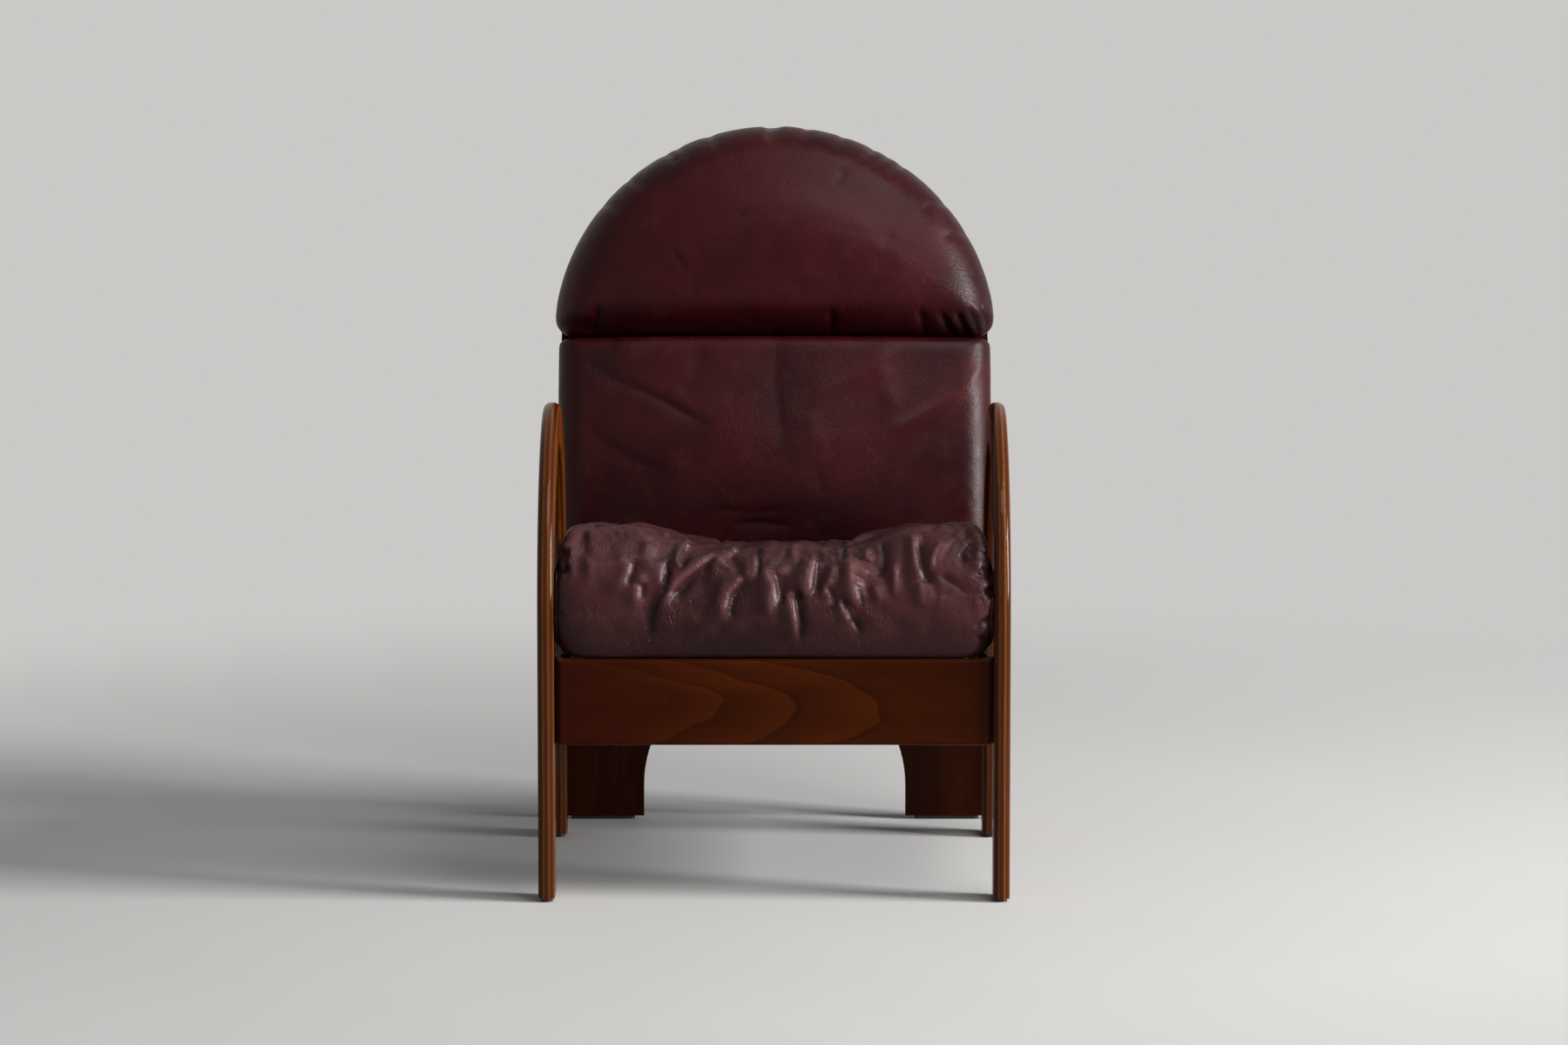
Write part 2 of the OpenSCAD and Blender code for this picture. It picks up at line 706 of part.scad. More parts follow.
module head_cushion() {
    section = edge_section(cushion_rear_r, rear_n, head_bulge, head_edge_r, head_t - head_crown);
    centre_s = top_len + (head_low + head_half_w) / 2 * head_squash_share;
    rings = concat(
        [for (s = section) head_ring(s.x, s.y)],
        [for (k = [dome_steps - 1 : -1 : 1]) let (share = k / dome_steps)
            head_ring(head_mid_inset + (head_edge_r - head_mid_inset) * share,
                head_t - head_crown + head_crown * hump(share))]);
    color("maroon") from_front()
        bag(on_face(0, centre_s, rear_n), rings, on_face(0, centre_s, head_t));
}

side_arch(-1);  // side_arch_left
side_arch(1);  // side_arch_right
front_rail();
rear_rail();
side_rail(-1);  // side_rail_left
side_rail(1);  // side_rail_right
corner_blocks();
block_screws();
rail_dowels();
arch_bolts();
arch_inserts();
back_shell();
shell_bolts();
shell_inserts();
strap(1);  // seat_strap_1
strap(2);  // seat_strap_2
strap(3);  // seat_strap_3
strap(4);  // seat_strap_4
strap(5);  // seat_strap_5
strap(6);  // seat_strap_6
strap_clips();
leg_glide(-1, arch_band / 2);  // glide_front_left
leg_glide(1, arch_band / 2);  // glide_front_right
leg_glide(-1, arch_depth - arch_band / 2);  // glide_rear_left
leg_glide(1, arch_depth - arch_band / 2);  // glide_rear_right
foot_glide(-1);  // foot_glide_left
foot_glide(1);  // foot_glide_right
back_pad_board();
head_board();
pad_studs();
back_pad();
head_cushion();
seat_cushion();
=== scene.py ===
"""Looks of an easy chair: two laminated arches, a bent back and three oxblood leather cushions.
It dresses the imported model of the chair. Everything is in metres, with Z up and the front at -Y."""
import json
import math

import bpy
import numpy as np
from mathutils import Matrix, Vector
from mathutils.bvhtree import BVHTree


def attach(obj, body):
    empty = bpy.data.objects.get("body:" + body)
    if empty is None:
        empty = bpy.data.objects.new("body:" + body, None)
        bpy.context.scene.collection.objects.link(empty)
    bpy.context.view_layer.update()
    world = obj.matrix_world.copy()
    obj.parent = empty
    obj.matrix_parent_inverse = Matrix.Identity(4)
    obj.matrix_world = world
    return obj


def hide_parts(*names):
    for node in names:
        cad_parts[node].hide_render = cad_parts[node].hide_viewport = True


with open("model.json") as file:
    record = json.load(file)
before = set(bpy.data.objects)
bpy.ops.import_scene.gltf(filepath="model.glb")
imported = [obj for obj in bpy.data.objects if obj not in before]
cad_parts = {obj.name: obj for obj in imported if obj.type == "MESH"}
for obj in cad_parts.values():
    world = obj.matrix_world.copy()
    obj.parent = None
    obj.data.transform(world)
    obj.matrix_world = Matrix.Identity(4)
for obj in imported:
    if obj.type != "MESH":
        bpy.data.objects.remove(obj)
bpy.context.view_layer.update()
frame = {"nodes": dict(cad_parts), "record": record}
scene = bpy.context.scene

# --- camera
PHOTO_W, PHOTO_H = 1800, 1200
FOCAL_PX = 7461.2          # focal length in pixels of the photo
EYE = Vector((0.0131, -8.80135, 1.6166))
PITCH = math.radians(7.542)   # how far the camera looks down
SENSOR, FAR_CLIP = 36, 200

camera = bpy.data.objects.new("camera", bpy.data.cameras.new("camera"))
scene.collection.objects.link(camera)
camera.location = EYE
camera.rotation_euler = (math.pi / 2 - PITCH, 0, 0)
camera.data.sensor_width = SENSOR
camera.data.lens = FOCAL_PX / PHOTO_W * SENSOR
camera.data.clip_end = FAR_CLIP
scene.camera = camera
scene.view_settings.view_transform = "Standard"

# --- the chair's own measures
SHELL_Y = 0.22365          # front face of the lower back
BEND_Z = 0.3               # height where the bend starts
BEND_R = 0.8               # radius of the front face there
LEAN = math.radians(18)
BEND_LEN = BEND_R * LEAN
STRAIGHT = 0.125           # from the end of the bend to the lower edge of the head cushion
TOP_LEN = BEND_LEN + STRAIGHT
BEND_END = (SHELL_Y + BEND_R * (1 - math.cos(LEAN)), BEND_Z + BEND_R * math.sin(LEAN))
DECK = (-0.37135, 0.322)   # front end of the sloping deck, as Y and Z
DECK_SLOPE = math.radians(3)
SEAT_LOW = 0.0028          # the seat cushion's flat bottom, above the deck
SEAT_HALF_W, PAD_HALF_W, HEAD_R, HEAD_SQUASH = 0.2876, 0.303, 0.31, 0.977
HEAD_LOW = BEND_END[1] + STRAIGHT * math.cos(LEAN)
SEAT_SEAM_IN = 0.004       # the seat's side seams, in from its sides
BACK_SEAM_N = 0.030        # the back cushions' seams, in front of the shell
STITCH_OFF, STITCH_PITCH = 0.0036, 0.0052   # the stitches from their seam, and their pitch


def face_to_row(x, s, n):
    """Point of the back, from its distance along the front face and its distance out of it."""
    a = np.clip(s / BEND_R, 0, LEAN)
    over = np.maximum(s - BEND_LEN, 0)
    y = np.where(s < 0, SHELL_Y, SHELL_Y + BEND_R * (1 - np.cos(a))) + over * math.sin(LEAN)
    z = np.where(s < 0, BEND_Z + s, BEND_Z + BEND_R * np.sin(a)) + over * math.cos(LEAN)
    return np.stack([x, y - n * np.cos(a), z + n * np.sin(a)], -1)


def row_to_face(p):
    """The reverse: x, s and n of points."""
    y, z = p[:, 1], p[:, 2]
    cy = SHELL_Y + BEND_R
    a = np.arctan2(z - BEND_Z, cy - y)
    s_bend, n_bend = a * BEND_R, np.hypot(z - BEND_Z, cy - y) - BEND_R
    dy, dz = y - BEND_END[0], z - BEND_END[1]
    s_up = BEND_LEN + dy * math.sin(LEAN) + dz * math.cos(LEAN)
    n_up = -dy * math.cos(LEAN) + dz * math.sin(LEAN)
    low, up = z < BEND_Z, a > LEAN
    s = np.where(low, z - BEND_Z, np.where(up, s_up, s_bend))
    n = np.where(low, SHELL_Y - y, np.where(up, n_up, n_bend))
    return np.stack([p[:, 0], s, n], -1)


def row_to_deck(p):
    """x, distance back along the sloping deck and height over it."""
    y, z = p[:, 1] - DECK[0], p[:, 2] - DECK[1]
    c, s = math.cos(DECK_SLOPE), math.sin(DECK_SLOPE)
    return np.stack([p[:, 0], y * c - z * s, y * s + z * c], -1)


def deck_to_row(q):
    c, s = math.cos(DECK_SLOPE), math.sin(DECK_SLOPE)
    y, z = q[:, 1] * c + q[:, 2] * s, -q[:, 1] * s + q[:, 2] * c
    return np.stack([q[:, 0], y + DECK[0], z + DECK[1]], -1)


# --- noise in space
NOISE_GAIN = 1.6   # brings the noise to about -1 to 1


def lattice_noise(p, frequency, seed):
    """Smooth noise from -1 to 1 at points, from seeded gradients on a lattice."""
    rng = np.random.default_rng(seed)
    table = rng.permutation(256)
    table = np.concatenate([table, table])
    grads = rng.normal(size=(256, 3))
    grads /= np.linalg.norm(grads, axis=1)[:, None]
    q = np.asarray(p) * frequency
    cell = np.floor(q).astype(int)
    f = q - cell
    w = f * f * f * (f * (f * 6 - 15) + 10)
    total = np.zeros(len(q))
    for dx in (0, 1):
        for dy in (0, 1):
            for dz in (0, 1):
                c = (cell + (dx, dy, dz)) & 255
                g = grads[table[table[table[c[:, 0]] + c[:, 1]] + c[:, 2]]]
                dot = ((f - (dx, dy, dz)) * g).sum(1)
                total += dot * np.prod(np.where((dx, dy, dz), w, 1 - w), axis=1)
    return total * NOISE_GAIN


# --- meshes
def vectors(items, key):
    out = np.empty(len(items) * 3, np.float32)
    items.foreach_get(key, out)
    return out.reshape(-1, 3).astype(float)


def coords(mesh):
    return vectors(mesh.vertices, "co")


def set_coords(mesh, p):
    mesh.vertices.foreach_set("co", np.ascontiguousarray(p, np.float32).ravel())
    mesh.update()


def normals(mesh):
    return vectors(mesh.vertex_normals, "vector")


def add_object(name, mesh):
    obj = bpy.data.objects.new(name, mesh)
    scene.collection.objects.link(obj)
    return obj


def apply_all(obj):
    """Puts the modifiers into the mesh."""
    graph = bpy.context.evaluated_depsgraph_get()
    mesh = bpy.data.meshes.new_from_object(obj.evaluated_get(graph))
    obj.modifiers.clear()
    obj.data = mesh
    return obj


def smooth(mesh, p, rounds, share=0.5):
    """Laplacian smoothing of any values at the mesh's vertices."""
    edges = np.empty(len(mesh.edges) * 2, np.int32)
    mesh.edges.foreach_get("vertices", edges)
    a, b = edges.reshape(-1, 2).T
    count = np.bincount(np.concatenate([a, b]), minlength=len(p))[:, None]
    flat = p.ndim == 1
    p = p[:, None] if flat else p
    for _ in range(rounds):
        total = np.stack([np.bincount(a, p[b, k], len(p)) + np.bincount(b, p[a, k], len(p))
                          for k in range(p.shape[1])], -1)
        p = p + share * (total / count - p)
    return p[:, 0] if flat else p


def ease(value, low, high):
    """Smooth step from 0 at low to 1 at high."""
    t = np.clip((value - low) / (high - low), 0, 1)
    return t * t * (3 - 2 * t)


def cushion_blank(name, node, voxel):
    """The CAD cushion's form as an even fine mesh."""
    obj = add_object(name, frame["nodes"][node].data.copy())
    obj.data.materials.clear()
    weld = obj.modifiers.new("weld", "WELD")
    weld.merge_threshold = 0.0002
    sub = obj.modifiers.new("round", "SUBSURF")
    sub.levels = sub.render_levels = 2
    remesh = obj.modifiers.new("even", "REMESH")
    remesh.mode = "VOXEL"
    remesh.voxel_size = voxel
    apply_all(obj)
    set_coords(obj.data, smooth(obj.data, coords(obj.data), 5))
    return obj


# The cloth of the covers, and how it is filled.
CLOTH = {"quality": 5, "mass": 0.4, "tension_stiffness": 25, "compression_stiffness": 12,
         "shear_stiffness": 6, "use_pressure": True, "uniform_pressure_force": 3.0}
CLOTH_FRAMES = 20
DRAW_IN = 0.003                     # how much smaller the cover starts
SWELL_CAP = 0.012                   # the most that a point moves
KEEP_FORM, FORM_ROUNDS = 0.8, 120   # share of the wide swelling that is taken back


def swell(obj, hold, bending, slack):
    """Cloth simulation of the filled cover from a slightly smaller shape, with its seams held
    and a limit on how far a point moves. Slack is how much larger the cover is than the form."""
    start = coords(obj.data)
    small = start - (DRAW_IN * (1 - hold))[:, None] * normals(obj.data)
    set_coords(obj.data, small)
    cloth = obj.modifiers.new("swell", "CLOTH")
    for key, value in CLOTH.items():
        setattr(cloth.settings, key, value)
    cloth.settings.bending_stiffness = bending
    cloth.settings.effector_weights.gravity = 0
    cloth.settings.shrink_min = -slack
    cloth.collision_settings.use_collision = False
    group = obj.vertex_groups.new(name="hold")
    for level in range(1, 11):
        picked = np.nonzero(np.round(hold * 10) == level)[0].tolist()
        group.add(picked, level / 10, "REPLACE")
    cloth.settings.vertex_group_mass = "hold"
    for f in range(1, CLOTH_FRAMES + 1):
        scene.frame_set(f)
    apply_all(obj)
    scene.frame_set(1)
    moved = (coords(obj.data) - small) * (1 - hold)[:, None]
    moved -= KEEP_FORM * smooth(obj.data, moved, FORM_ROUNDS)
    moved = smooth(obj.data, moved, 3)
    far = np.linalg.norm(moved, axis=1)[:, None]
    capped = moved * SWELL_CAP * np.tanh(far / SWELL_CAP) / np.maximum(far, 1e-9)
    set_coords(obj.data, small + capped)


def fit_to_node(obj, node, to_local, to_row, fit_height):
    """Brings the cover's extent back to that of the CAD cushion, its height if asked."""
    cad, own = to_local(coords(frame["nodes"][node].data)), to_local(coords(obj.data))
    low, span = own.min(0), own.max(0) - own.min(0)
    stretch = (cad.max(0) - cad.min(0)) / span
    if not fit_height:
        stretch[2] = 1.0
    set_coords(obj.data, to_row(cad.min(0) + (own - low) * stretch))


def refine(obj):
    """One level of subdivision."""
    sub = obj.modifiers.new("fine", "SUBSURF")
    sub.levels = sub.render_levels = 1
    apply_all(obj)


# --- folds drawn on a surface
def curve_through(points, spacing):
    """Even points on a smooth curve through the given ones."""
    p = np.asarray(points, float)
    if len(p) == 2:
        p = np.stack([p[0], p.mean(0), p[1]])
    q = np.concatenate([[2 * p[0] - p[1]], p, [2 * p[-1] - p[-2]]])
    out = []
    for a, b, c, d in zip(q, q[1:], q[2:], q[3:]):
        steps = max(2, int(np.linalg.norm(c - b) / spacing))
        for t in np.arange(steps) / steps:
            out.append(0.5 * (2 * b + (c - a) * t + (2 * a - 5 * b + 4 * c - d) * t * t
                              + (3 * b - a - 3 * c + d) * t ** 3))
    return np.array(out + [p[-1]])


def pixel_ray(u, v):
    side, up = (u - PHOTO_W / 2) / FOCAL_PX, (PHOTO_H / 2 - v) / FOCAL_PX
    return Vector((side, math.cos(PITCH) + up * math.sin(PITCH),
                   up * math.cos(PITCH) - math.sin(PITCH))).normalized()


def surface(obj):
    mesh = obj.data
    return BVHTree.FromPolygons([v.co for v in mesh.vertices], [p.vertices for p in mesh.polygons])


def seen_points(tree, pixels):
    """Where a line drawn in the photo's frame lies on the surface."""
    hits = [tree.ray_cast(EYE, pixel_ray(u, v))[0] for u, v in curve_through(pixels, 3.0)]
    return np.array([list(h) for h in hits if h is not None])


def snapped(tree, points):
    return np.array([list(tree.find_nearest(Vector(p))[0]) for p in points])


CREASE_ROUND = 0.3              # half width of a crease's round bottom, in fold widths
CREASE_FALL, RIDGE_FALL = 1.1, 1.3   # how fast they fade to the sides
FOLD_REACH = 4.5                # where a fold ends sideways, in widths


def press(p, n, out, line, depth, width, skew=0.0, ends=0.25):
    """Adds to out, at points p with normals n, a fold along a line: a ridge where depth is
    positive and a sharper crease where it is negative. Skew makes one flank steeper, and ends
    is the share of the line over which it fades out."""
    if len(line) < 2:
        return
    reach = FOLD_REACH * width
    lo, hi = line.min(0) - reach, line.max(0) + reach
    near = np.nonzero(np.all((p > lo) & (p < hi), axis=1))[0]
    if not len(near):
        return
    steps = np.linalg.norm(np.diff(line, axis=0), axis=1)
    along = np.concatenate([[0], np.cumsum(steps)]) / steps.sum()
    tangent = np.gradient(line, axis=0)
    best, at = np.full(len(near), 1e9), np.zeros(len(near), int)
    for k, q in enumerate(line):
        d = ((p[near] - q) ** 2).sum(1)
        closer = d < best
        best[closer], at[closer] = d[closer], k
    offset = p[near] - line[at]
    t = tangent[at]
    t /= np.linalg.norm(t, axis=1)[:, None] + 1e-12
    lengthwise = (offset * t).sum(1)
    flat = offset - t * lengthwise[:, None]
    side = np.sign((np.cross(t, flat) * n[near]).sum(1))
    q = side * np.linalg.norm(flat, axis=1) / width
    past = np.maximum(0, np.sqrt(best) - np.linalg.norm(flat, axis=1)) / width
    a = along[at]
    taper = ease(np.minimum(a, 1 - a), 0, ends)
    q = q * np.where(q > 0, 1 + skew, 1 - skew)
    if depth < 0:
        shape = np.exp(-CREASE_FALL * (np.sqrt(q * q + CREASE_ROUND ** 2) - CREASE_ROUND))
    else:
        shape = 1 / np.cosh(RIDGE_FALL * q)
    out[near] += depth * taper * shape * np.exp(-past ** 2)


# --- materials
def srgb(r, g, b):
    """Linear colour from 0 to 255 display values."""
    return tuple(((c / 255 + 0.055) / 1.055) ** 2.4 if c > 10 else c / 255 / 12.92
                 for c in (r, g, b)) + (1,)


class Look:
    """A node material under construction."""

    def __init__(self, name, **settings):
        self.material = bpy.data.materials.new(name)
        self.material.use_nodes = True
        self.tree = self.material.node_tree
        self.shader = self.tree.nodes["Principled BSDF"]
        self.set(self.shader, settings)

    def set(self, node, settings):
        for key, value in settings.items():
            socket = node.inputs[key] if isinstance(key, int) else \
                node.inputs[key.replace("_", " ")]
            if isinstance(value, bpy.types.NodeSocket):
                self.tree.links.new(value, socket)
            else:
                socket.default_value = value

    def node(self, kind, settings=None, **attributes):
        node = self.tree.nodes.new("ShaderNode" + kind)
        for key, value in attributes.items():
            setattr(node, key, value)
        self.set(node, settings or {})
        return node

    def place(self):
        return self.node("TexCoord").outputs["Object"]

    def split(self, vector):
        node = self.node("SeparateXYZ", {0: vector})
        return node.outputs[0], node.outputs[1], node.outputs[2]

    def join(self, x, y, z):
        return self.node("CombineXYZ", {0: x, 1: y, 2: z}).outputs[0]

    def stretch(self, vector, x, y, z):
        return self.node("Mapping", {"Vector": vector, "Scale": (x, y, z)}).outputs[0]

    def math(self, operation, a, b=0.0, c=0.0):
        return self.node("Math", {0: a, 1: b, 2: c}, operation=operation).outputs[0]

    def add(self, a, b):
        return self.math("ADD", a, b)

    def sub(self, a, b):
        return self.math("SUBTRACT", a, b)

    def mul(self, a, b):
        return self.math("MULTIPLY", a, b)

    def away(self, value):
        """How far a value is from 0."""
        return self.math("ABSOLUTE", value)

    def noise(self, vector, scale, detail=3.0, roughness=0.5, distortion=0.0):
        return self.node("TexNoise", {"Vector": vector, "Scale": scale, "Detail": detail,
                                      "Roughness": roughness, "Distortion": distortion}).outputs[0]

    def cells(self, vector, scale, feature, **settings):
        settings.update(Vector=vector, Scale=scale)
        return self.node("TexVoronoi", settings, feature=feature).outputs["Distance"]

    def ramp(self, value, low, high, out_low=0.0, out_high=1.0, smooth=True):
        node = self.node("MapRange", {0: value, 1: low, 2: high, 3: out_low, 4: out_high},
                         interpolation_type="SMOOTHSTEP" if smooth else "LINEAR")
        return node.outputs[0]

    def mix(self, factor, a, b):
        node = self.node("Mix", data_type="RGBA")
        self.set(node, {0: factor, 6: a, 7: b})
        return node.outputs[2]

    def attribute(self, name):
        return self.node("Attribute", attribute_name=name).outputs["Fac"]

    def bump(self, height, distance):
        settings = {"Height": height, "Distance": distance, "Strength": 1.0}
        return self.node("Bump", settings).outputs[0]


def sewn(look, off_seam, along, colour, height):
    """A sewn seam: a groove where off_seam is 0, and a row of stitches beside it, both darkened with
    painted shade.
    """
    groove = look.ramp(look.away(off_seam), 0.0, 0.0022, 1.0, 0.0)
    row = look.ramp(look.away(look.sub(off_seam, STITCH_OFF)), 0.0003, 0.0007, 1.0, 0.0)
    step = look.away(look.sub(look.math("FRACT", look.math("DIVIDE", along, STITCH_PITCH)), 0.5))
    stitch = look.mul(row, look.ramp(step, 0.28, 0.36, 1.0, 0.0))
    # painted shade in the seam's groove and along the row of stitches
    colour = look.mix(look.mul(groove, 0.8), colour, srgb(14, 3, 4))
    colour = look.mix(look.mul(row, 0.35), colour, srgb(20, 5, 6))
    colour = look.mix(stitch, colour, srgb(74, 26, 28))
    height = look.math("MULTIPLY_ADD", groove, -1.6, height)
    height = look.math("MULTIPLY_ADD", row, -0.5, height)
    return colour, look.math("MULTIPLY_ADD", stitch, 0.9, height)


def seat_seam(look, x, y, z):
    """How far off a side seam of the seat a point lies, and how far along it."""
    return look.sub(SEAT_HALF_W - SEAT_SEAM_IN, look.away(x)), look.add(y, z)


def back_seam(look, x, y, z):
    """The same for the seams of the two back cushions."""
    turn = look.math("ARCTAN2", look.sub(z, HEAD_LOW), x)
    return look.sub(shell_depth(look, y, z), BACK_SEAM_N), look.mul(turn, HEAD_R)


def darker(colour, share):
    return tuple(c * share for c in colour[:3]) + (1,)


def leather(name, deep, mid, worn, wrinkle, drawn, seam, shade=None, **settings):
    """Waxed aniline leather: mottled dye, pebble grain, fine wrinkles, paler on worn ridges, painted
    shade in creases. Shade gives the heights between which painted shade on the lower edge fades out."""
    look = Look(name, **settings)
    place = look.place()
    cloudy = look.noise(place, 6, 4, 0.55, 0.4)
    patches = look.noise(place, 28, 5, 0.6)
    ridge, crease = look.attribute("ridge"), look.attribute("crease")
    stray = look.node("TexNoise", {"Vector": place, "Scale": 22}).outputs[1]
    stray = look.node("VectorMath", {0: stray, 3: 0.018}, operation="SCALE").outputs[0]
    warp = look.node("VectorMath", {0: place, 1: stray}, operation="ADD").outputs[0]
    veins = look.noise(look.stretch(warp, *drawn), 34, 4, 0.55, 0.8)
    lines = look.ramp(look.away(look.sub(veins, 0.5)), 0.0, 0.035)
    fine_lines = look.ramp(look.cells(warp, 260, "DISTANCE_TO_EDGE"), 0.0, 0.2)
    pebble = look.cells(place, 820, "SMOOTH_F1", Smoothness=0.6)
    where = look.ramp(look.noise(place, 9, 2), 0.38, 0.66)
    colour = look.mix(look.ramp(cloudy, 0.3, 0.72), deep, mid)
    colour = look.mix(look.ramp(patches, 0.52, 0.8, 0, 0.35), colour, worn)
    colour = look.mix(look.mul(ridge, 0.55), colour, worn)
    # painted shade: the leather is darkened where the folds are pressed in
    colour = look.mix(look.mul(crease, 0.75), colour, darker(deep, 0.25))
    # painted shade: the lower part is darkened, fading out between the two shade heights
    if shade is not None:
        low = look.ramp(look.split(place)[2], *shade, 0.55, 0.0)
        colour = look.mix(low, colour, darker(deep, 0.3))
    hollow = look.sub(1.0, fine_lines)
    colour = look.mix(look.mul(hollow, 0.12), colour, darker(deep, 0.3))
    rough = look.add(look.ramp(cloudy, 0.3, 0.7, 0.32, 0.40),
                     look.ramp(patches, 0.3, 0.8, -0.03, 0.09))
    look.set(look.shader, {"Roughness": look.sub(rough, look.mul(ridge, 0.07))})
    height = look.mul(look.mul(lines, where), wrinkle)
    height = look.math("MULTIPLY_ADD", fine_lines, 0.10, height)
    height = look.math("MULTIPLY_ADD", pebble, -0.14, height)
    height = look.math("MULTIPLY_ADD", look.noise(place, 120, 4, 0.6), 0.45, height)
    colour, height = sewn(look, *seam(look, *look.split(place)), colour, height)
    look.set(look.shader, {"Base Color": colour, "Normal": look.bump(height, 0.0007)})
    return look.material


def grain_colour(look, along, across, through, tones, size=1.0):
    """Veneer figure: contour lines of soft noise, fibres along the grain and dark pores."""
    bent = look.join(along, across, through)
    slow = look.noise(look.stretch(bent, 3.2 * size, 13 * size, 3.0), 1.0, 2.0, 0.45, 0.35)
    rings = look.math("PINGPONG", look.mul(slow, 11.0), 1.0)
    fibres = look.noise(look.stretch(bent, 9, 420, 420), 1.0, 4.0, 0.62)
    streaks = look.noise(look.stretch(bent, 2.2, 70, 70), 1.0, 3.0, 0.55)
    pores = look.ramp(look.noise(look.stretch(bent, 55, 1500, 1500), 1.0, 1.0), 0.62, 0.74)
    colour = look.mix(look.ramp(slow, 0.28, 0.72), tones[0], tones[1])
    colour = look.mix(look.ramp(rings, 0.15, 0.95, 0.0, 0.55), colour, tones[2])
    colour = look.mix(look.ramp(streaks, 0.45, 0.75, 0.0, 0.5), colour, tones[0])
    colour = look.mix(look.ramp(fibres, 0.4, 0.75, 0.0, 0.5), colour, tones[3])
    colour = look.mix(look.mul(pores, 0.55), colour, tones[4])
    return colour, fibres, pores


def plies(look, depth, ply, tones, fibre_place):
    """Cut edge of plywood: tones that alternate from ply to ply, with dark glue lines."""
    wobble = look.mul(look.sub(look.noise(fibre_place, 14, 2), 0.5), 0.2)
    layer = look.add(look.math("DIVIDE", depth, ply), wobble)
    inside = look.math("PINGPONG", layer, 1.0)
    body = look.mix(look.ramp(inside, 0.4, 0.6), tones[0], tones[1])
    own = look.node("TexWhiteNoise", {"W": look.math("ROUND", layer)}, noise_dimensions="1D")
    body = look.mix(look.ramp(own.outputs[0], 0.2, 1.0, 0.0, 0.5), body, tones[2])
    glue = look.ramp(look.away(look.sub(inside, 0.5)), 0.0, 0.16, 1.0, 0.0)
    return look.mix(look.mul(glue, 0.7), body, tones[3])


def lacquer(look, colour, fibres, pores, low=0.24, high=0.38):
    """Thin finish: low to high is its roughness, and fibres and pores show in its relief."""
    height = look.math("MULTIPLY_ADD", pores, -0.6, look.mul(fibres, 0.5))
    look.set(look.shader, {"Base Color": colour, "Normal": look.bump(height, 0.00012),
                           "Roughness": look.ramp(fibres, 0.3, 0.8, low, high)})


AMBER, BROWN, RUST = srgb(110, 57, 12), srgb(54, 22, 3), srgb(82, 37, 6)
DARK, PORE = srgb(36, 12, 3), srgb(18, 6, 2)
ARCH_INNER, ARCH_THICK, ARCH_PLY = 0.288, 0.022, 0.00367   # the arches' inner side, and plies
RAIL_FRONT, RAIL_PLY = 0.39135, 0.0018   # the front rail's face is at Y of minus this
SHELL_PLY = 0.0018


def arch_look():
    """Cut plies on the band's edges and veneer on its inner and outer face."""
    look = Look("arch_wood", Coat_Weight=0.2, Coat_Roughness=0.06, Specular_IOR_Level=0.03)
    place = look.place()
    x, y, z = look.split(place)
    inward = look.sub(look.away(x), ARCH_INNER)
    face, fibres, pores = grain_colour(look, z, y, x, (BROWN, AMBER, RUST, DARK, PORE))
    fibre_place = look.stretch(place, 1, 1, 0.08)
    edge = plies(look, inward, ARCH_PLY, (AMBER, BROWN, RUST, PORE), fibre_place)
    thin = look.noise(look.stretch(place, 900, 260, 9), 1.0, 4.0, 0.6)
    edge = look.mix(look.ramp(thin, 0.42, 0.75, 0.0, 0.55), edge, DARK)
    on_face = look.ramp(look.away(look.sub(inward, ARCH_THICK / 2)), 0.0098, 0.0108)
    lacquer(look, look.mix(on_face, edge, face), fibres, pores)
    return look.material


# Tips of the rail veneer's flames: x, z, how far back they have spread by, half height there, and
# how many rings in they start.
FLAMES = [(0.141, 0.2547, 0.095, 0.050, 0.0), (-0.013, 0.2695, 0.064, 0.0226, 1.53)]
RAIL_TONES = (srgb(48, 15, 2), srgb(70, 27, 3), srgb(60, 20, 2), srgb(36, 10, 1), PORE)


def rail_material(name):
    return Look(name, Coat_Weight=0.03, Coat_Roughness=0.12, Specular_IOR_Level=0.03)


def front_rail_look():
    """Veneer with a flame figure: nested growth rings that end in two tips to the right, and painted
    shade darkening its left half.
    """
    look = rail_material("front_rail_wood")
    place = look.place()
    x, y, z = look.split(place)
    face, fibres, pores = grain_colour(look, x, z, y, RAIL_TONES, 0.5)
    wander = look.noise(look.stretch(look.join(x, z, y), 8, 20, 5), 1.0, 3.0, 0.5)
    field = -9.0
    for tip_x, tip_z, back, high, start in FLAMES:
        dx = look.math("DIVIDE", look.sub(tip_x, x), back)
        dz = look.math("DIVIDE", look.sub(z, tip_z), high)
        own = look.sub(look.add(dx, start), look.mul(dz, dz))
        field = look.math("SMOOTH_MAX", field, own, 0.5)
    field = look.math("MULTIPLY_ADD", wander, 0.8, look.sub(field, 0.4))
    ring = look.math("FRACT", look.mul(field, 0.85))
    shows = look.mul(look.ramp(field, -1.0, 0.1), look.ramp(field, 2.2, 4.0, 1.0, 0.3))
    light = look.mul(look.ramp(ring, 0.0, 0.9, 0.2, 0.0, smooth=False), shows)
    dark = look.mul(look.ramp(ring, 0.8, 0.98, 0.0, 0.16), shows)
    face = look.mix(light, face, srgb(104, 46, 6))
    face = look.mix(dark, face, srgb(30, 8, 1))
    # painted shade: the rail is darker towards its left end
    face = look.mix(look.ramp(x, -0.30, -0.02, 0.7, 0.0), face, srgb(44, 8, 3))
    deep = look.add(y, RAIL_FRONT)
    fibre_place = look.stretch(place, 0.1, 1, 1)
    edge = plies(look, deep, RAIL_PLY, (AMBER, BROWN, RUST, PORE), fibre_place)
    lacquer(look, look.mix(look.ramp(deep, 0.0006, 0.0016), face, edge), fibres, pores)
    return look.material


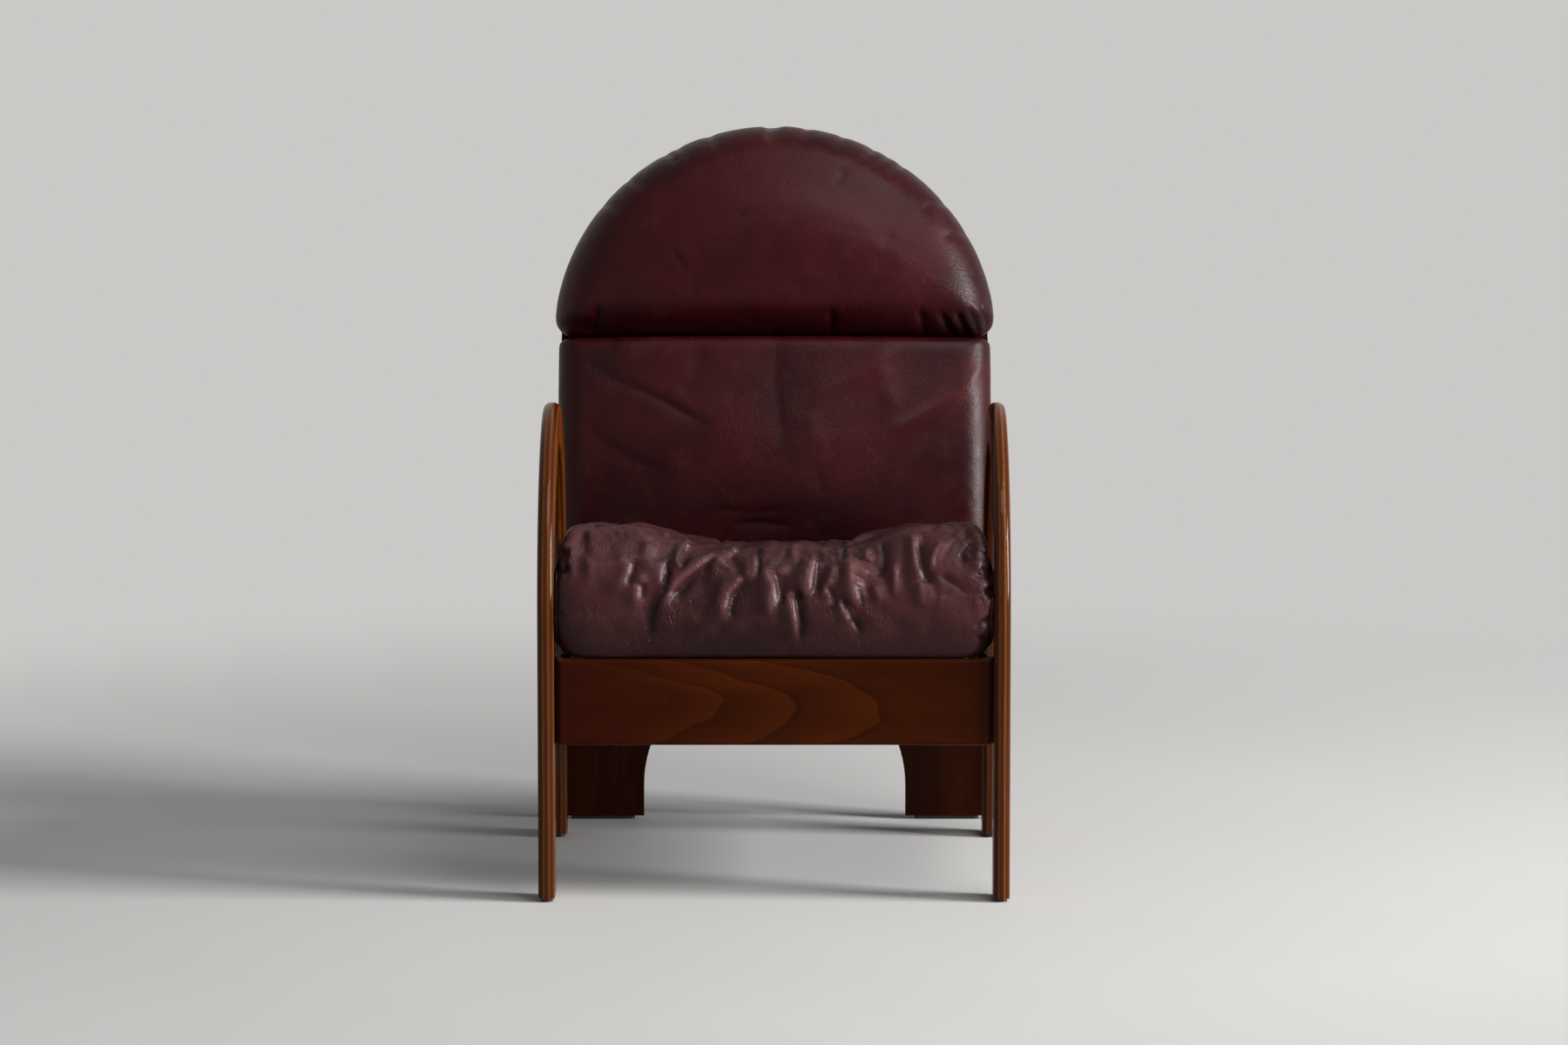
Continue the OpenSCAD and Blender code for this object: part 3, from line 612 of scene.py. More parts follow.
def plain_rail_look(name, order):
    """Veneer of another rail. Order is which axes run along, across and through it."""
    look = rail_material(name)
    place = look.split(look.place())
    lacquer(look, *grain_colour(look, *(place[axis] for axis in order), RAIL_TONES))
    return look.material


def shell_depth(look, y, z):
    """Distance from the back's bent front face, outwards to the front."""
    ry = look.sub(SHELL_Y + BEND_R, y)
    rz = look.sub(z, BEND_Z)
    bend = look.sub(look.math("SQRT", look.add(look.mul(ry, ry), look.mul(rz, rz))), BEND_R)
    low = look.sub(SHELL_Y, y)
    ahead, above = look.sub(BEND_END[0], y), look.sub(z, BEND_END[1])
    up = look.add(look.mul(ahead, math.cos(LEAN)), look.mul(above, math.sin(LEAN)))
    is_up = look.math("GREATER_THAN", look.math("ARCTAN2", rz, ry), LEAN)
    is_low = look.math("LESS_THAN", z, BEND_Z)
    depth = look.add(bend, look.mul(is_up, look.sub(up, bend)))
    return look.add(depth, look.mul(is_low, look.sub(low, depth)))


def shell_look():
    """Veneer on the faces of the bent back and cut plies round its edge."""
    look = Look("shell_wood", Coat_Weight=0.03, Coat_Roughness=0.15, Specular_IOR_Level=0.03)
    place = look.place()
    x, y, z = look.split(place)
    # These tones are darker than the rails': partly the veneer's own colour, partly painted shade.
    tones = (srgb(30, 9, 3), srgb(56, 21, 5), srgb(43, 15, 4), srgb(20, 6, 3), PORE)
    face, fibres, pores = grain_colour(look, z, x, y, tones)
    normal = look.split(look.node("NewGeometry").outputs["Normal"])
    lean = look.ramp(z, BEND_Z, BEND_END[1], 0.0, LEAN, smooth=False)
    down = look.mul(look.math("SINE", lean), -1.0)
    out = look.add(look.mul(normal[1], look.math("COSINE", lean)), look.mul(normal[2], down))
    on_edge = look.ramp(look.away(out), 0.55, 0.8, 1.0, 0.0)
    edge = plies(look, shell_depth(look, y, z), SHELL_PLY, (RUST, BROWN, AMBER, PORE), place)
    lacquer(look, look.mix(on_edge, face, edge), fibres, pores, 0.3, 0.42)
    return look.material


def raw_wood_look(name, light, dark, ply):
    """Unfinished wood, in layers of this thickness."""
    look = Look(name, Roughness=0.62, Specular_IOR_Level=0.3)
    place = look.place()
    fibres = look.noise(look.stretch(place, 18, 500, 500), 1.0, 4.0, 0.6)
    colour = look.mix(look.ramp(fibres, 0.35, 0.7), light, dark)
    edge = plies(look, look.split(place)[2], ply, (light, dark, light, dark), place)
    colour = look.mix(0.5, colour, edge)
    look.set(look.shader, {"Base Color": colour, "Normal": look.bump(fibres, 0.0002)})
    return look.material


def webbing_look():
    look = Look("webbing", Roughness=0.8, Specular_IOR_Level=0.25)
    place = look.place()
    warp = look.node("TexWave", {"Vector": place, "Scale": 160, "Distortion": 0.6},
                     wave_type="BANDS", bands_direction="Y").outputs[1]
    weft = look.node("TexWave", {"Vector": place, "Scale": 130, "Distortion": 0.6},
                     wave_type="BANDS", bands_direction="X").outputs[1]
    weave = look.mul(warp, weft)
    dust = look.noise(place, 60, 4, 0.6)
    colour = look.mix(look.ramp(weave, 0.1, 0.8), srgb(34, 32, 31), srgb(74, 70, 66))
    colour = look.mix(look.ramp(dust, 0.45, 0.8, 0, 0.35), colour, srgb(112, 104, 94))
    look.set(look.shader, {"Base Color": colour, "Normal": look.bump(weave, 0.0006)})
    return look.material


def metal_look(name, colour, dull):
    look = Look(name, Metallic=1.0)
    place = look.place()
    scratches = look.noise(look.stretch(place, 60, 900, 900), 1.0, 4.0, 0.6)
    stain = look.noise(place, 90, 4, 0.6)
    look.set(look.shader, {
        "Base Color": look.mix(look.ramp(stain, 0.4, 0.75, 0, 0.5), colour, dull),
        "Roughness": look.ramp(scratches, 0.3, 0.7, 0.28, 0.45),
        "Normal": look.bump(scratches, 0.00005)})
    return look.material


def plastic_look(name, colour, worn, roughness):
    look = Look(name, Specular_IOR_Level=0.4)
    place = look.place()
    speck = look.noise(place, 900, 3, 0.6)
    scuff = look.noise(look.stretch(place, 40, 40, 300), 1.0, 5.0, 0.7)
    look.set(look.shader, {
        "Base Color": look.mix(look.ramp(scuff, 0.5, 0.8, 0, 0.5), colour, worn),
        "Roughness": look.ramp(scuff, 0.3, 0.8, roughness, roughness + 0.2),
        "Normal": look.bump(speck, 0.00008)})
    return look.material


# The seat's last pair of heights places painted shade on its lower front.
SEAT_LEATHER = leather(
    "seat_leather", srgb(50, 22, 24), srgb(67, 32, 34), srgb(96, 60, 60), 0.45, (1.5, 1.1, 0.5),
    seat_seam, (0.322, 0.385), Specular_IOR_Level=0.14)
BACK_LEATHER = leather(
    "back_leather", srgb(34, 4, 7), srgb(54, 7, 12), srgb(74, 23, 23), 0.2, (1.0, 1.0, 0.8),
    back_seam, Specular_IOR_Level=0.13)
LOOKS = {
    "arch_wood": arch_look(),
    "rail_wood": front_rail_look(),
    "shell_wood": shell_look(),
    "beech": raw_wood_look("beech", srgb(206, 170, 124), srgb(170, 128, 84), 0.3),
    "plywood": raw_wood_look("plywood", srgb(214, 184, 138), srgb(168, 128, 84), 0.0013),
    "zinc_steel": metal_look("zinc_steel", srgb(190, 190, 186), srgb(134, 132, 126)),
    "brass": metal_look("brass", srgb(206, 172, 96), srgb(150, 116, 60)),
    "webbing": webbing_look(),
    "glide": plastic_look("glide", srgb(22, 21, 21), srgb(78, 74, 70), 0.4),
    "nylon": plastic_look("nylon", srgb(218, 212, 198), srgb(186, 178, 160), 0.35),
}


def dress(node, look):
    obj = frame["nodes"][node]
    for slot in obj.material_slots:
        slot.material = look


# --- cushions
SEAT_VOXEL, BACK_VOXEL = ((0.0045, 0.006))
PAD_CROWN, HEAD_CROWN = 0.24, 0.2
WEAR_AND_SHADE_FULL = 0.004            # height of a fold that shows the most wear on a ridge, or the deepest painted shade in a crease
FINE_RELIEF = 0.00025        # uneven surface of every cover
CARVE_WIDTH = 1.35           # folds are carved this much wider before the simulation
# Creases deeper than 3 mm hold the cloth: their width's share, depth of a full hold, most hold.
GRIP_FROM, GRIP_WIDTH, GRIP_DEPTH, GRIP_MOST = -3, 0.8, 0.004, 0.6
# From where the covers are held fully, to where not at all.
SEAT_SIDE, SEAT_BOTTOM, SEAT_REAR = (0.012, 0.045), (0.012, 0.04), (0.44, 0.49)
PAD_RIM, PAD_REAR, PAD_LOW = (0.012, 0.07), (0.03, 0.06), 0.006
HEAD_RIM, HEAD_REAR = (0.012, 0.08), (0.04, 0.08)
# The back pad's rounded top is squeezed to this share of its height, over this reach.
TOP_SQUEEZE, TOP_REACH = 0.22, 0.09
LOWER_FILL = 0.004           # how far the head cushion's lower edges are filled out
# The seat cushion, after the simulation.
CORNER_FILL = 0.028          # how far its upper side edges are filled out
SIDE_FILL = 1.003            # all of it is this much wider
BELLY = (0.034, 0.056, 0.062)   # share that its front bulges to the sides, at what height, reach
BELLY_BACK = (-0.01, 0.15)   # where the bulge fades out to the back
BOTTOM_IN = (0.015, 0.04)    # share that its bottom is narrower, and up to what height
OVER_RAIL = 0.0031           # how far its bottom settles on the front rail
SETTLED_UP, SETTLED_BACK = (0.004, 0.03), (0.05, 0.09)
FRONT_TUCK = (0.007, 0.06)   # how far its lower front is drawn in, and how high up
TUCK_BACK = (0.0, 0.09)


def finish_cushion(obj, node, look, height):
    """Keeps how far each point was pressed in or out, for the leather's wear on ridges and its
    painted shade in creases, and rides it.
    """
    for name, values in (("ridge", height), ("crease", -height)):
        layer = obj.data.attributes.new(name, "FLOAT", "POINT")
        layer.data.foreach_set("value", np.clip(values / WEAR_AND_SHADE_FULL, 0, 1).astype(np.float32))
    for polygon in obj.data.polygons:
        polygon.use_smooth = True
    obj.data.materials.clear()
    obj.data.materials.append(look)
    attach(obj, "root")
    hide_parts(node)


def seat_hold(p):
    q = row_to_deck(p)
    side = ease(np.abs(q[:, 0]), SEAT_HALF_W - SEAT_SIDE[1], SEAT_HALF_W - SEAT_SIDE[0])
    return np.maximum(np.maximum(side, 1 - ease(q[:, 2], *SEAT_BOTTOM)), ease(q[:, 1], *SEAT_REAR))


def pad_hold(p):
    q = row_to_face(p)
    ends = np.minimum(q[:, 1] - PAD_LOW, TOP_LEN - q[:, 1])
    inset = np.minimum(PAD_HALF_W - np.abs(q[:, 0]), ends)
    return np.maximum(1 - ease(inset, *PAD_RIM), 1 - ease(q[:, 2], *PAD_REAR))


def head_hold(p):
    q = row_to_face(p)
    up = (q[:, 1] - TOP_LEN) / HEAD_SQUASH
    inset = np.minimum(HEAD_R - np.hypot(q[:, 0], up), up)
    return np.maximum(1 - ease(inset, *HEAD_RIM), 1 - ease(q[:, 2], *HEAD_REAR))


# Folds as depth in mm, width in mm, skew, and the line that they follow in the photo's frame.
# On a line drawn downwards a positive skew raises the side on its left.
HEAD_FOLDS = [
    (-1.4, 6, 0.1, [(770.7, 283.6), (785, 305), (790, 311)]),
    (-1.0, 7, 0, [(962, 191), (967, 201), (958, 214)]),
    (-0.7, 6, 0, [(1026, 267), (1010, 287)]),
    (-3.4, 4, 0, [(686.8, 347), (688, 362), (685, 382)]),
    (-3.4, 4, 0, [(673, 362), (676, 382)]),
    (-2.5, 4, 0, [(660, 358), (664, 378)]),
    (-2.2, 5, 0, [(951, 349), (955, 366), (955, 384)]),
    (-2.6, 5, 0, [(1056, 351), (1058, 366), (1063, 384)]),
    (-3.4, 4, 0, [(1079, 354), (1087, 374), (1100, 388)]),
    (-3.4, 4, 0, [(1095, 352), (1105, 374), (1112, 388)]),
    (-3.4, 4, 0, [(1110, 349), (1119, 370), (1124, 386)]),
    (-3.0, 4, 0, [(1124, 346), (1131, 366), (1133, 380)]),
    (-0.8, 9, 0, [(794, 309), (799, 340)]),
    (-0.8, 9, 0, [(918, 315), (920, 345)]),
    (-0.7, 8, 0, [(848, 240), (852, 252)]),
]
# Gathers over the head cushion's rim: where across the photo's frame, and depth in mm.
RIM_NOTCHES = [(718, 2), (762, 3), (776, 2.5), (813, 3), (883, 5), (890, 2), (926, 2), (968, 2),
               (1003, 3), (1019, 2), (1036, 3), (1085, 3), (690, 2), (1110, 2)]
RIM_MIDDLE, RIM_SCALE = 888.5, 822   # the rim's middle in the photo's frame, and pixels to a metre
RIM_R = np.array([0.309, 0.312, 0.306, 0.292, 0.27])    # a gather's way from the rim inwards,
RIM_N = np.array([0.030, 0.052, 0.082, 0.102, 0.116])   # and in front of the shell
RIM_WIDTH, RIM_ENDS, RIM_AGAIN = 0.0042, 0.3, 0.4

PAD_FOLDS = [
    (-1.8, 9, 0.3, [(658, 396), (695.7, 429), (735, 447), (763.6, 461), (795.7, 479), (830, 495)]),
    (-1.1, 13, 0.3, [(662, 474), (690, 503), (713.6, 520), (745.7, 536), (778, 546)]),
    (1.2, 9, 0, [(1040, 393), (1003, 419), (970.7, 437), (942, 450), (915, 468)]),
    (1.9, 10, -0.1, [(1140, 408), (1110, 438), (1088.6, 458), (1049, 480), (1020.7, 494),
                     (995, 505)]),
    (-1.0, 15, 0.1, [(893, 392), (890, 434), (893, 459), (896, 492), (892, 520)]),
    (0.7, 14, 0, [(926, 470), (934, 498), (954, 520)]),
    (-1.0, 15, 0, [(809, 398), (794, 432), (776, 456)]),
    (1.1, 15, 0, [(1012, 414), (1016, 446), (1036, 476)]),
    (1.0, 13, 0, [(704, 398), (722, 406), (728, 420)]),
    (-1.2, 7, 0, [(838, 604), (867, 600), (914, 604)]),
    (-0.8, 9, 0, [(810, 585), (867, 588), (910, 586)]),
    (-0.6, 6, 0, [(940, 545), (945, 570)]),
]

SEAT_FOLDS = [
    (2.2, 9, 0, [(732, 634), (722, 648), (716, 659), (711, 669), (706, 684)]),
    (-2.6, 6, 0, [(731, 641), (726, 655), (722, 674)]),
    (1.8, 6, 0, [(668, 655), (684, 651), (700, 647), (722, 642)]),
    (2.0, 8, 0, [(736, 655), (731, 680), (730, 706)]),
    (-2.4, 5, 0, [(738, 668), (737, 690)]),
    (1.6, 6, 0, [(742, 622), (738, 645)]),
    (1.2, 8, 0, [(752, 640), (757, 655), (757, 680)]),
    (-5, 5, 0, [(765, 638), (766, 658), (763, 678), (755, 690), (749, 705), (747, 722),
                (744, 736)]),
    (2.6, 4, 0, [(792, 619), (782, 627), (777, 638), (771, 657)]),
    (-2, 5, 0, [(790, 626), (783, 636), (778, 650)]),
    (5, 6, 0, [(821, 631), (812, 640), (800, 649), (788, 658), (776, 667), (766, 681), (760, 696),
               (757, 708)]),
    (-3.6, 6, 0, [(822, 637), (808, 652), (795, 664), (785, 675), (774, 685), (767, 695)]),
    (2.8, 6, 0, [(845, 627), (832, 636), (822, 645), (816, 657)]),
    (-2.2, 5, 0, [(862, 621), (850, 628), (838, 638), (828, 648)]),
    (4, 6, 0, [(853, 656), (845, 668), (836, 678), (831, 688), (829, 701), (831, 716)]),
    (-3.4, 6, 0, [(857, 664), (850, 677), (843, 686), (840, 701), (841, 715)]),
    (3, 6, 0, [(871, 636), (865, 646), (862, 659), (861, 673)]),
    (-7, 4, 0, [(868, 619), (872, 632), (871, 646), (873, 660), (875, 670)]),
    (4.5, 6, 0, [(882, 648), (881, 661), (884, 675), (883, 690), (881, 712)]),
    (-3.4, 5, 0, [(890, 657), (894, 672), (897, 686), (899, 697)]),
    (1.4, 4, 0, [(897, 649), (892, 661)]),
    (1.6, 4, 0, [(916, 620), (906, 627), (903, 638)]),
    (4.5, 6, 0, [(902, 676), (905, 690), (908, 705), (911, 718), (915, 737)]),
    (-6, 4.5, 0, [(915, 672), (916, 690), (918, 705), (920, 720), (917, 739)]),
    (4.5, 6.5, 0, [(935, 636), (929, 650), (924, 665), (924, 678), (927, 692)]),
    (-4.6, 5.5, 0, [(940, 632), (939, 648), (938, 665), (935, 679), (929, 692)]),
    (1.8, 3.5, 0, [(960, 642), (956, 655), (952, 668), (946, 678), (942, 691)]),
    (-7, 4, 0, [(958, 620), (966, 625), (968, 635), (967, 645)]),
    (-5.5, 5, 0, [(966, 683), (972, 698), (978, 708), (984, 718), (990, 730)]),
    (3, 5, 0, [(962, 688), (967, 703), (974, 718)]),
    (-2.2, 5, 0, [(949, 672), (955, 685), (958, 698)]),
    (5, 7, 0, [(979, 638), (977, 655), (976, 670), (979, 685), (983, 702)]),
    (-3.4, 5.5, 0, [(984, 671), (988, 684), (990, 698)]),
    (2.2, 4, 0, [(998, 630), (994, 646)]),
    (2, 5, 0, [(992, 652), (984, 664)]),
    (-3.6, 6, 0, [(1012, 620), (1015, 638), (1013, 654), (1002, 665)]),
    (1.6, 4, 0, [(1028, 646), (1027, 665), (1025, 687)]),
    (2.8, 5, 0, [(1052, 612), (1050, 630), (1052, 645), (1054, 658), (1049, 672)]),
    (-4, 5, 0, [(1054, 616), (1055, 634), (1058, 650), (1063, 664), (1071, 676)]),
    (2.2, 6, 0, [(1056, 664), (1057, 685), (1055, 698)]),
    (2, 3.5, 0, [(1086, 618), (1075, 632), (1070, 645), (1066, 659)]),
    (-2, 6, 0, [(1076, 658), (1090, 668), (1100, 675), (1113, 686)]),
    (-3.6, 6, 0, [(1117, 620), (1107, 631), (1104, 640), (1113, 645)]),
    (1.4, 5, 0, [(1078, 683), (1078, 702)]),
    (1.6, 5, 0, [(1003, 672), (1010, 692)]),
    (-2.6, 5, 0, [(730, 604), (750, 612), (765, 617), (800, 617), (840, 619), (868, 619)]),
    (1.6, 4, 0, [(700, 603), (722, 607), (744, 614)]),
    (1.4, 4, 0, [(706, 610), (730, 613), (752, 621)]),
    (-3, 5, 0, [(892, 617), (920, 620), (958, 620)]),
    (-3, 4, 0, [(888, 610), (885, 616), (888, 624)]),
]
# Gathers at the two front corners, most from the side seam towards the middle.
SEAT_GATHERS = [
    (-2.6, 3, 0, [(1120, 632), (1130, 636), (1139, 634)]),
    (-2.6, 3, 0, [(1120, 643), (1130, 645), (1141, 646)]),
    (-2.4, 3, 0, [(1121, 655), (1132, 655), (1142, 657)]),
    (-3.4, 3.5, 0, [(1114, 659), (1128, 667), (1141, 669)]),
    (-3.2, 3.5, 0, [(1119, 682), (1130, 681), (1142, 675)]),
    (-2.8, 3, 0, [(1120, 690), (1131, 687), (1143, 682)]),
    (-4, 4, 0, [(1118, 722), (1129, 714), (1142, 707)]),
    (-2.6, 4, 0, [(1116, 729), (1128, 733), (1140, 734)]),
    (-5, 6, 0, [(634, 640), (642, 636), (655, 634)]),
    (-5, 6, 0, [(634, 660), (645, 656), (656, 655)]),
    (2, 4, 0, [(635, 652), (641, 650)]),
    (-3.5, 4, 0, [(636, 627), (644, 627)]),
    (2.5, 5, 0, [(644, 621), (650, 631)]),
    (-2.5, 4, 0, [(641, 700), (646, 712)]),
]


def fold_moves(obj, folds, share=1.0, narrow=1.0):
    """How far each point moves along its normal for a list of folds."""
    p, n, tree = coords(obj.data), normals(obj.data), surface(obj)
    move = np.zeros(len(p))
    for depth, width, skew, pixels in folds:
        line = seen_points(tree, pixels)
        press(p, n, move, line, share * depth / 1000, narrow * width / 1000, skew)
    return move


def shift(obj, move):
    """Moves the points along their normals."""
    set_coords(obj.data, coords(obj.data) + normals(obj.data) * move[:, None])


def rim_moves(obj):
    """Gathers over the rim of the head cushion, from its rear seam to the front."""
    p, n, tree = coords(obj.data), normals(obj.data), surface(obj)
    move = np.zeros(len(p))
    for u, depth in RIM_NOTCHES:
        angle = math.acos((u - RIM_MIDDLE) / RIM_SCALE / HEAD_R)
        up = TOP_LEN + RIM_R * math.sin(angle) * HEAD_SQUASH
        line = curve_through(face_to_row(RIM_R * math.cos(angle), up, RIM_N), 0.003)
        press(p, n, move, snapped(tree, line), -depth / 1000, RIM_WIDTH, 0.0, RIM_ENDS)
    return move


def carved_hold(obj, hold, folds):
    """The seams' hold, and a part hold along the creases."""
    moves = fold_moves(obj, [f for f in folds if f[0] < GRIP_FROM], 1.0, GRIP_WIDTH)
    return np.maximum(hold(coords(obj.data)), np.clip(-moves / GRIP_DEPTH, 0, GRIP_MOST))


# Where the seat's top line is lower than the solid's, or higher: x, half width and how much.
SEAT_SAGS = [(-0.121, 0.066, -0.0155), (0.128, 0.066, -0.0170), (0.010, 0.035, 0.004),
             (0.246, 0.030, 0.004)]


def sat_in(obj):
    """The seat's top line as years of use have left it."""
    q = row_to_deck(coords(obj.data))
    sag = sum(much * np.exp(-((q[:, 0] - x) / wide) ** 2) for x, wide, much in SEAT_SAGS)
    q[:, 2] += sag * ease(q[:, 2], 0.04, 0.12)
    set_coords(obj.data, deck_to_row(q))


def crowned(q, share):
    """Draws the front of a back cushion in towards its sides."""
    q[:, 2] *= 1 - share * (np.abs(q[:, 0]) / HEAD_R) ** 2.2
    return q


def face_back(q):
    return face_to_row(q[:, 0], q[:, 1], q[:, 2])


def seam_groove(off_seam, depth, width):
    """Moves that sink a sewn seam into the cover, from how far off it each point lies."""
    return -depth * np.exp(-(off_seam / width) ** 2)


BACK_GROOVE, SEAT_GROOVE = (0.0016, 0.0032), (0.0012, 0.0022)   # depth and width


def back_groove(obj):
    return seam_groove(row_to_face(coords(obj.data))[:, 2] - BACK_SEAM_N, *BACK_GROOVE)


def seat_groove(obj):
    off_seam = SEAT_HALF_W - SEAT_SEAM_IN - np.abs(coords(obj.data)[:, 0])
    return seam_groove(off_seam, *SEAT_GROOVE)


def rim_and_groove(obj):
    """The head cushion's seam, and its gathers once more at a share of their depth."""
    return RIM_AGAIN * rim_moves(obj) + back_groove(obj)


def square_up(obj, amount):
    """Fills out rounded lower edges: moves points outwards where the surface faces both down and
    to the side, or both down and to the front."""
    n = normals(obj.data)
    c, s = math.cos(LEAN), math.sin(LEAN)
    front = np.maximum(-n[:, 1] * c + n[:, 2] * s, 0)
    down = np.maximum(-n[:, 1] * s - n[:, 2] * c, 0)
    move = 2 * down * np.abs(n[:, 0]) + 2 * front * down
    shift(obj, amount * np.minimum(move, 1.2))


def build_cushion(name, node, voxel, folds, hold, locals_, bending, slack, extra=None, form=None):
    """A cover: folds carved wide, filled by cloth simulation, then brought back to the CAD cushion's
    extent.
    """
    obj = cushion_blank(name, node, voxel)
    if form is not None:
        form(obj)
    grip = carved_hold(obj, hold, folds)
    move = fold_moves(obj, folds, 1.0, CARVE_WIDTH)
    if extra is not None:
        move += extra(obj)
    shift(obj, move)
    swell(obj, grip, bending, slack)
    fit_to_node(obj, node, *locals_, fit_height=form is None)
    return obj


def finer(obj, folds, crease_share, ridge_share, extra, widths=(0.75, 0.85)):
    """Subdivides the cover, presses the folds in finely at these shares of their depth and
    width, and gives how deep the folds are at each point."""
    refine(obj)
    creases, ridges = [f for f in folds if f[0] < 0], [f for f in folds if f[0] > 0]
    move = fold_moves(obj, creases, crease_share, widths[0])
    move += fold_moves(obj, ridges, ridge_share, widths[1])
    move += extra(obj)
    shift(obj, move + FINE_RELIEF * lattice_noise(coords(obj.data), 30, 5))
    return fold_moves(obj, folds)


def build_seat():
    folds = SEAT_FOLDS + SEAT_GATHERS
    seat = build_cushion("seat_cover", "seat_cushion", SEAT_VOXEL, folds, seat_hold,
                         (row_to_deck, deck_to_row), 2.0, 0.006, form=sat_in)
    n = normals(seat.data)
    up = n[:, 1] * math.sin(DECK_SLOPE) + n[:, 2] * math.cos(DECK_SLOPE)
    shift(seat, CORNER_FILL * np.abs(n[:, 0]) * np.maximum(up, 0))
    q = row_to_deck(coords(seat.data))
    bulge, middle, reach = BELLY
    belly = np.maximum(1 - ((q[:, 2] - middle) / reach) ** 2, 0) * (1 - ease(q[:, 1], *BELLY_BACK))
    q[:, 0] *= SIDE_FILL + bulge * belly - BOTTOM_IN[0] * (1 - ease(q[:, 2], 0.0, BOTTOM_IN[1]))
    q[:, 0] = np.clip(q[:, 0], -SEAT_HALF_W, SEAT_HALF_W)
    set_coords(seat.data, deck_to_row(q))
    height = finer(seat, folds, 1.0, 0.85, seat_groove, (0.65, 1.0))
    q = row_to_deck(coords(seat.data))
    q[:, 0] *= np.minimum(1, SEAT_HALF_W / np.maximum(np.abs(q[:, 0]), 1e-6))
    q[:, 2] = np.maximum(q[:, 2], SEAT_LOW)
    over_rail = OVER_RAIL + math.tan(DECK_SLOPE) * np.maximum(-q[:, 1], 0)
    q[:, 2] -= over_rail * ((1 - ease(q[:, 2], *SETTLED_UP)) * (1 - ease(q[:, 1], *SETTLED_BACK)))
    under_belly = (1 - ease(q[:, 2], 0.0, FRONT_TUCK[1])) * (1 - ease(q[:, 1], *TUCK_BACK))
    q[:, 1] += FRONT_TUCK[0] * under_belly
    set_coords(seat.data, deck_to_row(q))
    finish_cushion(seat, "seat_cushion", SEAT_LEATHER, height)


def build_pad():
    pad = build_cushion("pad_cover", "back_pad", BACK_VOXEL, PAD_FOLDS, pad_hold,
                        (row_to_face, face_back), 0.5, 0.0)
    q = row_to_face(coords(pad.data))
    under = np.maximum(TOP_LEN - q[:, 1], 0)
    kept = TOP_SQUEEZE + (1 - TOP_SQUEEZE) * ease(under, 0, TOP_REACH)
    q[:, 1] = np.minimum(TOP_LEN, TOP_LEN - under * kept)
    set_coords(pad.data, face_back(crowned(q, PAD_CROWN)))
    height = finer(pad, PAD_FOLDS, 1.3, 1.3, back_groove)
    finish_cushion(pad, "back_pad", BACK_LEATHER, height)


def build_head():
    head = build_cushion("head_cover", "head_cushion", BACK_VOXEL, HEAD_FOLDS, head_hold,
                         (row_to_face, face_back), 0.5, 0.0, rim_moves)
    square_up(head, LOWER_FILL)
    set_coords(head.data, face_back(crowned(row_to_face(coords(head.data)), HEAD_CROWN)))
    height = finer(head, HEAD_FOLDS, 0.7, 0.6, rim_and_groove)
    finish_cushion(head, "head_cushion", BACK_LEATHER, height)


build_seat()
build_pad()
build_head()

# --- the frame's nodes
for part in frame["record"]["subparts"]:
    if part["material_slot"] in LOOKS:
        dress(part["node"], LOOKS[part["material_slot"]])
side_look = plain_rail_look("side_rail_wood", (1, 2, 0))
dress("side_rail_left", side_look)
dress("side_rail_right", side_look)
dress("rear_rail", plain_rail_look("rear_rail_wood", (0, 2, 1)))

# --- floor, light and background
BACKDROP = srgb(202, 201, 199)
AMBIENT = 0.12             # strength of the world's light on the object
FLOOR_R, RIM_POINTS = 60, 96
FADE = (1.05, 2.4)         # distances between which the floor fades into the backdrop

